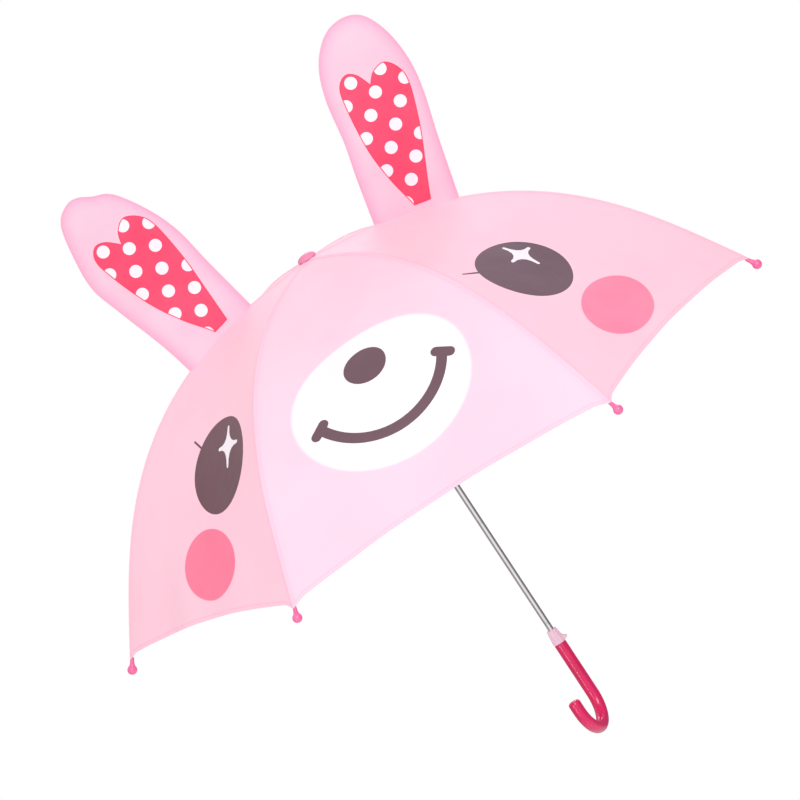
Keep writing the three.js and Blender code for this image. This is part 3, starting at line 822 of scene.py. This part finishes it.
def add_facing(shape, k, side, arc, slot):
    """A crescent of cloth under a joint between bands, which keeps it closed when the gore folds.

    Returns the area of the crescent laid flat.
    """
    flat = []
    for step in FACING_STEPS:
        for f in FACING_SHARES:
            s = arc - FACING_START + step * (FACING_AT_RIB + FACING_SWELL * (1 - f))
            flat.append((s, side * f * half_width(s)))
    flat = np.array(flat)
    normals = gore_normal(k, flat[:, 0], flat[:, 1])
    points = gore_point(k, flat[:, 0], flat[:, 1]) - normals * (CLOTH + 0.1)
    faces = facing_out(points, normals, grid_faces(len(FACING_STEPS), len(FACING_SHARES)))
    all_points, all_normals, all_faces, _ = sheet_shell(points, normals, faces, FACING)
    uvs = flat_uvs(flat)
    shape.add(all_points, all_faces, slot, uvs + uvs, all_normals, [0.0] * len(all_points))
    return flat_size(flat, halved(faces))[1]


def flat_size(flat, faces):
    """Width, length and area of a flat cut, in metres and square metres."""
    size = (flat.max(0) - flat.min(0)) / 1000
    area = 0.0
    for i, j, m in faces:
        (a, b), (c, d), (e, f) = flat[i], flat[j], flat[m]
        area += abs((c - a) * (f - b) - (e - a) * (d - b)) / 2e6
    return (float(size[1]), float(size[0])), area


def outer_outline():
    """Outline of a gore's outer panel, the lines inside it and its hem, in (arc, across)."""
    rib_arcs = np.linspace(JOINT_ARC, hem_arc(1.0), 49)
    shares = np.linspace(-1, 1, 33)
    far_rib = [(s, half_width(s)) for s in rib_arcs]
    near_rib = [(s, -x) for s, x in far_rib]
    ring = [(JOINT_ARC, f * half_width(JOINT_ARC)) for f in shares]
    hem_shares = np.linspace(-1, 1, 73)
    hem = [(hem_arc(f), f * half_width(hem_arc(f))) for f in hem_shares]
    hem_top = [(s - HEM_BAND, f * half_width(s - HEM_BAND)) for f, (s, _) in zip(hem_shares, hem)]
    boundary = ring[:-1] + far_rib[:-1] + hem[::-1][:-1] + near_rib[::-1][:-1]
    middle = [(s, 0.0) for s in np.linspace(JOINT_ARC, hem_arc(0.0), 49)]
    joins = [[(BANDS[band][1], f * half_width(BANDS[band][1])) for f in np.linspace(-1, 1, 57)]
             for band in OUTER_BANDS[:-1]]
    return boundary, [middle, hem_top, *joins], hem_top + hem[::-1]


def make_outer_panels(k):
    boundary, lines, hem_zone = outer_outline()
    prints = PRINTS.get(k, [])
    outlines = [list(outline) + [outline[0]] for outline, _, _ in prints]
    flat, faces, centres = triangulate(boundary, lines + outlines, 5.4)
    looks = [(cloth, cloth_inside)] * len(faces)
    for outline, front, back in [(hem_zone, cloth_hem, cloth_hem), *prints]:
        for i in np.flatnonzero(inside(centres, outline)):
            looks[i] = (front, back)
    for band in OUTER_BANDS:
        first, last, _ = BANDS[band]
        in_band = (centres[:, 0] > first) & ((centres[:, 0] < last) | (band == "border"))
        for side_name, side in SIDES.items():
            wanted = (centres[:, 1] * side > 0) & in_band
            band_looks = [look for look, w in zip(looks, wanted) if w]
            make_panel(k, side_name, band, *chosen(flat, faces, wanted), band_looks)


def make_inner_panels(k):
    shares = np.linspace(0, 1, 15)
    for band in INNER_BANDS:
        first, last, _ = BANDS[band]
        rows = int((last - first) / 5)
        faces = halved(grid_faces(rows, len(shares)))
        for side_name, side in SIDES.items():
            flat = [(s, side * f * half_width(s)) for s in np.linspace(first, last, rows) for f in shares]
            make_panel(k, side_name, band, np.array(flat), faces, [(cloth, cloth_inside)] * len(faces))


HEM_ROW = 3.8               # the row of stitches above the hem's edge
HEM_SECTION = [(-5.0, -0.5), (-5.0, -0.8), (-0.2, -0.85), (0.25, -0.6), (0.35, -0.25), (0.25, 0.02),
               (-0.2, 0.1), (-0.8, 0.04), (-0.8, -0.3)]


def make_hem(k, side_name, side, rib):
    """The rolled hem of half a gore: the turned-up cloth below, the rounded edge, and a row of stitches."""
    shares = side * np.linspace(0.0, 0.995, 40)
    arcs = hem_arc(shares)
    across = shares * half_width(arcs)
    base = gore_point(k, arcs, across)
    along = gore_along(k, arcs, across)
    normal = gore_normal(k, arcs, across)
    rows = np.array([[b + d * a + h * n for d, h in HEM_SECTION] for b, a, n in zip(base, along, normal)])
    if side < 0:
        rows = rows[:, ::-1]
    shape = Shape(*loft(rows))
    line = arcs - HEM_ROW
    shape.add(*stitches(on_gore(k, line, shares * half_width(line), 0.1), gore_normal(k, line, across)), 1)
    piece = build(f"hem_{k}_{side_name}", shape, [cloth_hem, thread], f"rib_outer_{rib}")
    fold_with(piece)
    return piece


# ---------------------------------------------------------------- seams over the ribs
WELT = [(-2.0, -0.2), (-2.0, 0.03), (-1.2, 0.2), (-0.4, 0.26), (0.4, 0.26), (1.2, 0.2), (2.0, 0.03),
        (2.0, -0.2), (0.0, -0.25)]
SEAM_ROW = 3.2              # a row of stitches on each side of a seam
TAPE = [(-5.5, -0.95), (-5.5, -0.55), (0.0, -0.6), (5.5, -0.55), (5.5, -0.95), (0.0, -1.05)]


def seam_line(k, arcs, offset, lift):
    """A line beside rib k, a distance offset from it: negative over gore k, positive over the next one."""
    if offset <= 0:
        return on_gore(k, arcs, half_width(arcs) + offset, lift)
    return on_gore(k % 6 + 1, arcs, offset - half_width(arcs), lift)


def make_seam(k, part):
    first, last = (14.0, JOINT_ARC) if part == "inner" else (JOINT_ARC, HEM_ARC - 1.5)
    arcs = np.linspace(first, last, int((last - first) / 5) + 1)
    shape = Shape()
    for section, slot in ((WELT, 0), (TAPE, 1)):
        lines = [seam_line(k, arcs, offset, lift) for offset, lift in section]
        shape.add(*loft(np.stack(lines, 1)), slot)
    for side, gore in ((-1, k), (1, k % 6 + 1)):
        line = seam_line(k, arcs, side * SEAM_ROW, 0.08)
        shape.add(*stitches(line, gore_normal(gore, arcs, side * (SEAM_ROW - half_width(arcs)))), 2)
    build(f"seam_{part}_{k}", shape, [cloth_seam, cloth_inside, thread], f"rib_{part}_{k}")


# ---------------------------------------------------------------- closing strap
STRAP_GORE = 4
STRAP_ARC = 330.0
STRAP_ACROSS = (20.0, 125.0)
STRAP_SECTION = [(-7.0, 0.3), (-7.0, 1.0), (-6.3, 1.25), (-5.2, 1.3), (5.2, 1.3), (6.3, 1.25), (7.0, 1.0),
                 (7.0, 0.3)]
EDGE_ROWS = (-5.8, 5.8)     # the rows of stitches along the strap
BOX_ROW = [(-5, 122), (5, 122), (5, 112), (-5, 112), (-5, 122)]
SNAP_ACROSS = 27.0
SNAP_PROFILE = [(0, -0.2), (4.6, -0.2), (5.0, 0.1), (5.0, 0.7), (4.6, 1.1), (3.6, 1.2), (3.1, 0.9),
                (2.5, 0.9), (2.0, 1.35), (1.2, 1.6), (0, 1.65)]


def strap_slack(across):
    return 0.35 * np.sin(across / 9) + 0.35


def over_strap(along, across, lift):
    """Points and normals above the cloth, following the strap's slack."""
    place = (STRAP_GORE, STRAP_ARC + along, across)
    return on_gore(*place, lift + strap_slack(across)), gore_normal(*place)


def make_strap():
    """A short webbing strap with stitched edges, lying on the rear gore, with its snap at the free end."""
    across = np.linspace(*STRAP_ACROSS, 43)
    slack = strap_slack(across)
    lines = [on_gore(STRAP_GORE, STRAP_ARC + a, across, h + slack * (h > 0.5)) for a, h in STRAP_SECTION]
    shape = Shape(*loft(np.stack(lines, 1)))
    for row in EDGE_ROWS:
        shape.add(*stitches(*over_strap(row, across, 1.35), 2.6, 1.8, 0.24), 1)
    box = [np.array(corner, float) for corner in BOX_ROW]
    line = np.array([p + (q - p) * t for p, q in zip(box, box[1:]) for t in (0, 0.5)] + [box[-1]])
    shape.add(*stitches(*over_strap(line[:, 0], line[:, 1], 1.4), 2.4, 1.7, 0.24), 1)
    strap = build("strap_webbing", shape, [strap_pink, thread], "rib_outer_4")
    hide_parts("closing_strap")
    fold_with(strap)
    snap_shape = Shape(*turned(SNAP_PROFILE, *over_strap(0, SNAP_ACROSS, 1.35)))
    snap = build("snap_button", snap_shape, [steel], "rib_outer_4")
    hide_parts("strap_snap")
    fold_with(snap)


# ---------------------------------------------------------------- ears
EAR_HALF_THICK = 3.9
EAR_SOFTNESS = 17.0         # how far in from its seam an ear is still rounding
DOT_RADIUS = 6.5
DOT_FIRST = (-17.0, 139.0)  # one dot, and the two steps from a dot to its neighbours
DOT_STEP_A = (19.7, -16.7)
DOT_STEP_B = (-12.3, -20.0)
LEFT_EAR = [(-46, 0), (-46, 32), (-50, 88), (-51, 122), (-40, 157), (-25, 187), (-8, 195.5), (4, 193),
            (15, 183), (30, 170), (42, 136), (47, 100), (44, 55), (41, 0)]
RIGHT_EAR = [(-44, 0), (-44, 48), (-43, 86), (-45, 132), (-39, 167), (-22, 192.5), (0, 201), (19, 194.5),
             (35, 170.5), (44.5, 138), (46.5, 106), (44, 60), (42, 0)]
HEART_RIGHT = [(16, 5), (24, 40), (32, 76), (37, 118), (33, 136), (21, 147), (8, 142), (0.5, 130.5)]
HEART_LEFT = [(0.5, 130.5), (-9, 144), (-19, 148), (-28, 140), (-30, 122), (-25, 74), (-15, 38), (-1, 5)]


class Ear:
    """A stuffed ear standing over a rib. Its own plane has x toward the right and y along the ear."""

    def __init__(self, name, rib, foot, depth, lean, outline):
        self.name = name
        self.rib = rib
        self.foot = np.array((foot, 0.0, CAP_HEIGHT - depth))
        angle = math.radians(lean)
        self.across = np.array((math.cos(angle), 0.0, -math.sin(angle)))
        self.up = np.array((math.sin(angle), 0.0, math.cos(angle)))
        start = (outline[0][0], self.meets_cloth(outline[0][0]))
        end = (outline[-1][0], self.meets_cloth(outline[-1][0]))
        self.seam = spline([start, *outline[1:-1], end], 4.0)
        self.base = [(x, self.meets_cloth(x)) for x in np.linspace(end[0], start[0], 24)]
        self.boundary = self.seam + self.base[1:-1]
        heart = spline(HEART_RIGHT)[:-1] + spline(HEART_LEFT)
        foot_line = [(-1 + 17 * i / 5, 5.0) for i in range(1, 6)]
        self.heart = heart + foot_line

    def in_plane(self, flat):
        return self.foot + flat[:, :1] * self.across + flat[:, 1:] * self.up

    def meets_cloth(self, x):
        """The y at which the ear's plane reaches the cloth."""
        y = 0.0
        for _ in range(12):
            place = self.foot + self.across * x + self.up * y
            arc = arc_at(abs(place[0]))
            y -= (place[2] - rib_height(arc)) / self.up[2]
        return y

    def thickness(self, flat):
        """Half thickness: round over the seams, with soft creases between them."""
        from_seam = edge_distance(flat, [self.seam])
        share = np.clip(from_seam / EAR_SOFTNESS, 0, 1)
        crown = EAR_HALF_THICK * np.sqrt(1 - (1 - share) ** 2)
        x, y = flat[:, 0], flat[:, 1]
        creases = 0.38 * np.sin(y / 9 + x / 14 + self.rib) + 0.3 * np.sin(y / 17 - x / 8 + 2 * self.rib)
        pucker = 0.25 * np.sin(y / 3.1) * np.exp(-((from_seam - 5) / 4) ** 2)
        return 0.25 + crown + (creases + pucker) * share

    def raised(self, flat):
        """The heart is a second layer, a little proud of the ear."""
        depth = edge_distance(flat, [self.heart])
        return 0.6 * inside(flat, self.heart) * np.clip(depth / 1.6, 0, 1)

    def place(self, flat, front):
        """Points of the front or back layer, sunk into the cloth along the base."""
        flat = np.asarray(flat, float)
        bulge = self.thickness(flat) + (self.raised(flat) if front else 0)
        points = self.in_plane(flat)
        points[:, 1] += -bulge if front else bulge
        base = np.array(self.base)[::-1]
        above = flat[:, 1] - np.interp(flat[:, 0], base[:, 0], base[:, 1])
        near = np.clip(1 - above / 14, 0, 1)
        arc = arc_at(np.abs(points[:, 0]))
        points[:, 2] += near * (cloth_height(points[:, 0], points[:, 1]) - rib_height(arc) - 0.3)
        return points

    def layer(self, flat, front):
        """Points and smooth normals of one layer."""
        points = self.place(flat, front)
        step_x = self.place(flat + (0.6, 0), front) - self.place(flat - (0.6, 0), front)
        step_y = self.place(flat + (0, 0.6), front) - self.place(flat - (0, 0.6), front)
        normals = unit(np.cross(step_x, step_y))
        return points, normals if front else -normals

    def dots(self):
        centres = []
        for i in range(-3, 8):
            for j in range(-3, 9):
                x = DOT_FIRST[0] + i * DOT_STEP_A[0] + j * DOT_STEP_B[0]
                y = DOT_FIRST[1] + i * DOT_STEP_A[1] + j * DOT_STEP_B[1]
                near = edge_distance(np.array([(x, y)]), [self.heart])[0] < DOT_RADIUS * 0.75
                if near or inside([(x, y)], self.heart)[0]:
                    centres.append((x, y))
        return centres

    def make(self):
        dots = [ellipse(c, (DOT_RADIUS, DOT_RADIUS), pitch=2.4) for c in self.dots()]
        lines = [self.heart] + [dot + [dot[0]] for dot in dots]
        flat, faces, centres = triangulate(self.boundary, lines, 3.6)
        in_heart = inside(centres, self.heart)
        in_dot = np.any([inside(centres, dot) for dot in dots], axis=0)
        front_slots = [2 if h and d else 1 if h else 0 for h, d in zip(in_heart, in_dot)]
        front, front_normals = self.layer(flat, True)
        back, back_normals = self.layer(flat, False)
        all_faces, _ = closed_faces(facing_out(front, front_normals, faces), len(flat))
        slots = front_slots + [0] * (len(all_faces) - len(front_slots))
        shape = Shape()
        uvs = [(x / 1000 + 0.5, y / 1000 + 0.1) for x, y in flat]
        # painted shade, darker toward the ear's seam
        painted_shades = list(np.clip(1 - edge_distance(flat, [self.seam]) / 15, 0, 1) ** 1.6)
        shape.add(np.concatenate((front, back)), all_faces, slots, uvs + uvs,
                  np.concatenate((front_normals, back_normals)), painted_shades + painted_shades)
        body = f"rib_inner_{self.rib}"
        ear = build(f"{self.name}_pad", shape, [ear_pink, heart_red, dot_white], body)
        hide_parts(self.name)
        self.make_edges(body)

    def make_edges(self, body):
        """The piping along the outline, and the close stitching round the heart."""
        path = self.in_plane(np.array(self.seam))
        front = np.tile((0.0, -1.0, 0.0), (len(path), 1))
        piping = Shape(*tube(path, 0.95, front, 10))
        build(f"{self.name}_piping", piping, [ear_piping_shaded], body)
        heart = np.array(self.heart[:-1])
        points, normals = self.layer(heart, True)
        edging = Shape(*tube(points, 0.5, normals, 8, 0.8, True))
        edging.add(*stitches(points + normals * 0.25, normals, 1.6, 1.3, 0.3))
        build(f"{self.name}_heart_edge", edging, [heart_red], body)


def cloth_height(x, y):
    """Height of the cloth over plan points near the X axis."""
    heights = np.zeros(len(x))
    for i, (px, py) in enumerate(zip(x, y)):
        azimuth = math.degrees(math.atan2(py, px))
        k = int(((azimuth + 120) % 360) // 60) + 1
        a = gore_azimuth(k)
        out = px * math.cos(a) + py * math.sin(a)
        across = -px * math.sin(a) + py * math.cos(a)
        heights[i] = gore_point(k, arc_at(out / COS30), across)[2]
    return heights


# ---------------------------------------------------------------- rigid pieces
def make_cap():
    """The domed cap, with a lip that reaches down to the cloth."""
    quarter = np.linspace(0, math.pi / 2, 18)[1:]
    profile = [(0, CAP_TOP)]
    profile += [(CAP_RADIUS * math.sin(a), CAP_TOP - CAP_DOME * (1 - math.cos(a))) for a in quarter]
    profile += [(9.7, -3.6), (9.2, -3.9), (8.6, -3.8), (8.0, -2.3), (3.5, -1.4), (3.2, -0.3), (0, -0.3)]
    shape = Shape(*turned(profile, (0, 0, CAP_HEIGHT), (0, 0, 1), 72))
    piece = build("cap_dome", shape, [cap_pink], "root", 50)
    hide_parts("top_cap")


def make_tip(k):
    """A ball on a neck, pushed onto the end of a rib at the corner of the cloth."""
    out, _ = rib_frame(k)
    slope = float(rib_slope(RIB_ARC))
    along = out * math.cos(slope) - np.array((0, 0, math.sin(slope)))
    normal = out * math.sin(slope) + np.array((0, 0, math.cos(slope)))
    centre = rib_radius(RIB_ARC) * out + np.array((0, 0, rib_height(RIB_ARC))) - TIP_DROP * normal
    ball = [(TIP_RADIUS * math.sin(a), TIP_RADIUS * math.cos(a)) for a in np.radians(np.linspace(140, 0, 20))]
    profile = [(0, -12.2), (1.6, -12.2), (1.9, -11.9), (2.0, -11.4), (2.05, -9.0), (2.15, -7.2), (2.4, -5.9),
               (2.75, -4.8)] + ball
    shape = Shape(*turned(profile, centre, along, 36))
    piece = build(f"tip_ball_{k}", shape, [tip_pink], f"rib_outer_{k}", 50)
    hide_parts(f"rib_tip_{k}")


def make_collar():
    """The fluted collar between the shaft and the handle, with its small tab."""
    top = CAP_HEIGHT - COLLAR_TOP
    angles = np.linspace(0, 2 * math.pi, 145)[:-1]
    rows = []
    for depth, radius in COLLAR_LEVELS:
        reaches = radius * (1 - 0.09 * (0.5 - 0.5 * np.cos(COLLAR_FLUTES * angles)) ** 2)
        rows.append([(r * math.cos(a), r * math.sin(a), top - depth) for r, a in zip(reaches, angles)])
    for depth in (COLLAR_LEVELS[-1][0], 0.0):
        rows.append([(COLLAR_BORE * math.cos(a), COLLAR_BORE * math.sin(a), top - depth) for a in angles])
    shape = Shape(*loft(np.array(rows)[:, ::-1], True))
    tab = spline([(4.3, 4.0), (6.4, 9.2), (7.9, 11.2), (9.6, 11.9), (10.3, 12.8), (9.4, 14.1), (7.6, 14.7),
                  (5.6, 15.5)], 0.8)
    middle, down = TAB_MIDDLE
    rows = []
    for y, share in ((-2.6, 0.88), (-2.3, 0.97), (-1.8, 1.0), (1.8, 1.0), (2.3, 0.97), (2.6, 0.88)):
        rows.append([(middle + (x - middle) * share, y, top - down - (depth - down) * share)
                     for x, depth in tab])
    shape.add(*loft(np.array(rows)))
    piece = build("collar_fluted", shape, [collar_pink], "root", 45)
    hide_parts("collar")


def make_handle():
    """The glossy hook: a straight grip, a half circle, a short leg and a blunt rounded end."""
    toward = np.array((math.cos(HOOK_AZIMUTH), math.sin(HOOK_AZIMUTH), 0.0))
    side = np.array((-math.sin(HOOK_AZIMUTH), math.cos(HOOK_AZIMUTH), 0.0))
    up = np.array((0.0, 0.0, 1.0))
    stations = []
    for fall, inset in ((0.0, 0.6), (0.25, 0.2), (0.8, 0.0)):
        stations.append((up * (HANDLE_TOP - fall), toward, HANDLE_RADIUS - inset))
    for height in np.linspace(HANDLE_TOP - 3, HOOK_CENTRE, 20):
        stations.append((up * height, toward, HANDLE_RADIUS))
    for angle in np.linspace(0, math.pi, 57)[1:]:
        spoke = -toward * math.cos(angle) - up * math.sin(angle)
        centre = toward * HOOK_RADIUS + up * HOOK_CENTRE
        stations.append((centre + spoke * HOOK_RADIUS, -spoke, HANDLE_RADIUS))
    foot = toward * 2 * HOOK_RADIUS + up * HOOK_CENTRE
    for beyond, inset in ((-6.0, 0.0), (-2.0, 0.0), (-0.9, 0.15), (0.1, 0.7), (0.8, 1.6), (1.2, 2.7),
                          (1.3, 3.8)):
        stations.append((foot + up * (HOOK_LEG + beyond), -toward, HANDLE_RADIUS - inset))
    rows = []
    for centre, inner, radius in stations:
        row = []
        for angle in np.linspace(0, 2 * math.pi, 65)[:-1]:
            mould_line = 0.13 * math.exp(-(math.cos(angle) / 0.05) ** 2)
            reach = radius + mould_line * (radius == HANDLE_RADIUS)
            row.append(centre + reach * (math.cos(angle) * inner + math.sin(angle) * side))
        rows.append(row)
    shape = Shape(*loft(rows))
    piece = build("handle_hook", shape, [handle_red], "root", 60)
    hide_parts("handle")


def dress_cad_nodes():
    """Smooth shading and metal or plastic looks for the CAD pieces that stay."""
    looks = {"runner": inner_white, "notch_crown": inner_white, "shaft_tube": chrome}
    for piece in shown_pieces():
        if "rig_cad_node" not in piece:
            continue
        name = piece["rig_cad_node"] if isinstance(piece["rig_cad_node"], str) else piece.name
        look = looks.get(name, steel)
        if not piece.data.materials:
            piece.data.materials.append(look)
        for i in range(len(piece.material_slots)):
            piece.material_slots[i].material = look
        piece.data.polygons.foreach_set("use_smooth", [True] * len(piece.data.polygons))
        piece.data.set_sharp_from_angle(angle=math.radians(32))


# ---------------------------------------------------------------- camera, light and floor
CAMERA_TARGET = Vector((0, 0, 0.316))
CAMERA_DISTANCE = 12
VIEW_WIDTH = 0.788          # metres across the picture at the target
SENSOR = 36


def set_camera():
    azimuth, elevation, roll = (math.radians(a) for a in (2.5, 7.65, 33.35))
    back = Vector((math.sin(azimuth) * math.cos(elevation), -math.cos(azimuth) * math.cos(elevation),
                   math.sin(elevation)))
    right = Vector((math.cos(azimuth), math.sin(azimuth), 0))
    up = back.cross(right)
    camera_x = math.cos(roll) * right - math.sin(roll) * up
    camera_y = math.sin(roll) * right + math.cos(roll) * up
    camera = bpy.data.objects.new("camera", bpy.data.cameras.new("camera"))
    camera.data.sensor_width = SENSOR
    camera.data.lens = SENSOR * CAMERA_DISTANCE / VIEW_WIDTH
    camera.data.clip_end = 100
    turn = Matrix((camera_x, camera_y, back)).transposed().to_4x4()
    camera.matrix_world = Matrix.Translation(CAMERA_TARGET + back * CAMERA_DISTANCE) @ turn
    bpy.context.collection.objects.link(camera)
    bpy.context.scene.camera = camera


def add_area(name, place, size, power):
    light = bpy.data.lights.new(name, "AREA")
    light.shape = "RECTANGLE"
    light.size, light.size_y = size
    light.energy = power
    lamp = bpy.data.objects.new(name, light)
    lamp.location = place
    lamp.rotation_euler = (Vector(place) - Vector((0, 0, 0.35))).to_track_quat("Z", "Y").to_euler()
    bpy.context.collection.objects.link(lamp)


WALL_WHITE = (1.0, 0.985, 0.99, 1.0)
WALL_DARK = (0.2, 0.18, 0.195, 1.0)


def studio_walls(studio, reflected):
    """White walls, but with dark stretches beside and behind that only reflections show."""
    split = studio.node("ShaderNodeSeparateXYZ")
    studio.link(studio.coordinates("Generated"), split.inputs[0])
    dark = reflected
    for ramp in (studio.range(split.outputs["Y"], -0.88, -0.5),
                 studio.range(split.outputs["X"], -0.3, 0.2, 0.8),
                 studio.range(studio.math("ABSOLUTE", split.outputs["Z"]), 0.3, 0.7, 1.0, 0.0)):
        dark = studio.math("MULTIPLY", dark, ramp)
    return studio.mix(dark, WALL_WHITE, WALL_DARK)


def set_light():
    bpy.context.scene.view_settings.view_transform = "Standard"
    world = bpy.data.worlds.new("studio")
    bpy.context.scene.world = world
    world.use_nodes = True
    studio = Nodes(world.node_tree)
    path = studio.node("ShaderNodeLightPath")
    lighting = studio.tree.nodes["Background"]
    lighting.inputs["Strength"].default_value = 0.82
    studio.link(studio_walls(studio, path.outputs["Is Glossy Ray"]), lighting.inputs["Color"])
    seen = studio.node("ShaderNodeBackground")
    seen.inputs["Color"].default_value = (1, 1, 1, 1)
    mix = studio.node("ShaderNodeMixShader")
    studio.link(path.outputs["Is Camera Ray"], mix.inputs[0])
    studio.link(lighting.outputs[0], mix.inputs[1])
    studio.link(seen.outputs[0], mix.inputs[2])
    studio.link(mix.outputs[0], studio.tree.nodes["World Output"].inputs["Surface"])
    add_area("key", (0.9, -2.9, 1.9), (1.6, 1.6), 54)
    add_area("strip", (-1.8, -2.5, 0.1), (0.6, 2.4), 17)
    add_area("rim", (0.6, 2.6, 1.8), (1.6, 1.2), 26)


FLOOR_RADIUS = 1.25
FLOOR_HEIGHT = -1.5


def add_floor():
    """A pale round floor well below the umbrella, which hangs free as it does in the hand."""
    m = Material("floor_pale")
    m.link(m.mix(m.range(m.noise(1.4), 0.4, 0.6), srgb(250, 249, 250), srgb(247, 246, 248)),
           m.shader.inputs["Base Color"])
    m.put(Roughness=0.9)
    rim = [(x, y, FLOOR_HEIGHT) for x, y in arc_points((0, 0), FLOOR_RADIUS, 0, 2 * math.pi, 97)[:-1]]
    mesh = bpy.data.meshes.new("floor")
    mesh.from_pydata(rim, [], [tuple(range(len(rim)))])
    mesh.materials.append(m.data)
    floor = bpy.data.objects.new("floor", mesh)
    bpy.context.collection.objects.link(floor)
    floor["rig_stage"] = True


# ---------------------------------------------------------------- making everything
set_camera()
set_light()
add_floor()
for k in GORES:
    make_inner_panels(k)
    make_outer_panels(k)
    make_seam(k, "inner")
    make_seam(k, "outer")
    make_tip(k)
make_strap()
Ear("ear_left", 5, -112.7, 17.6, -14.3, LEFT_EAR).make()
Ear("ear_right", 2, 117.5, 20.3, 12.4, RIGHT_EAR).make()
make_cap()
make_collar()
make_handle()
dress_cad_nodes()
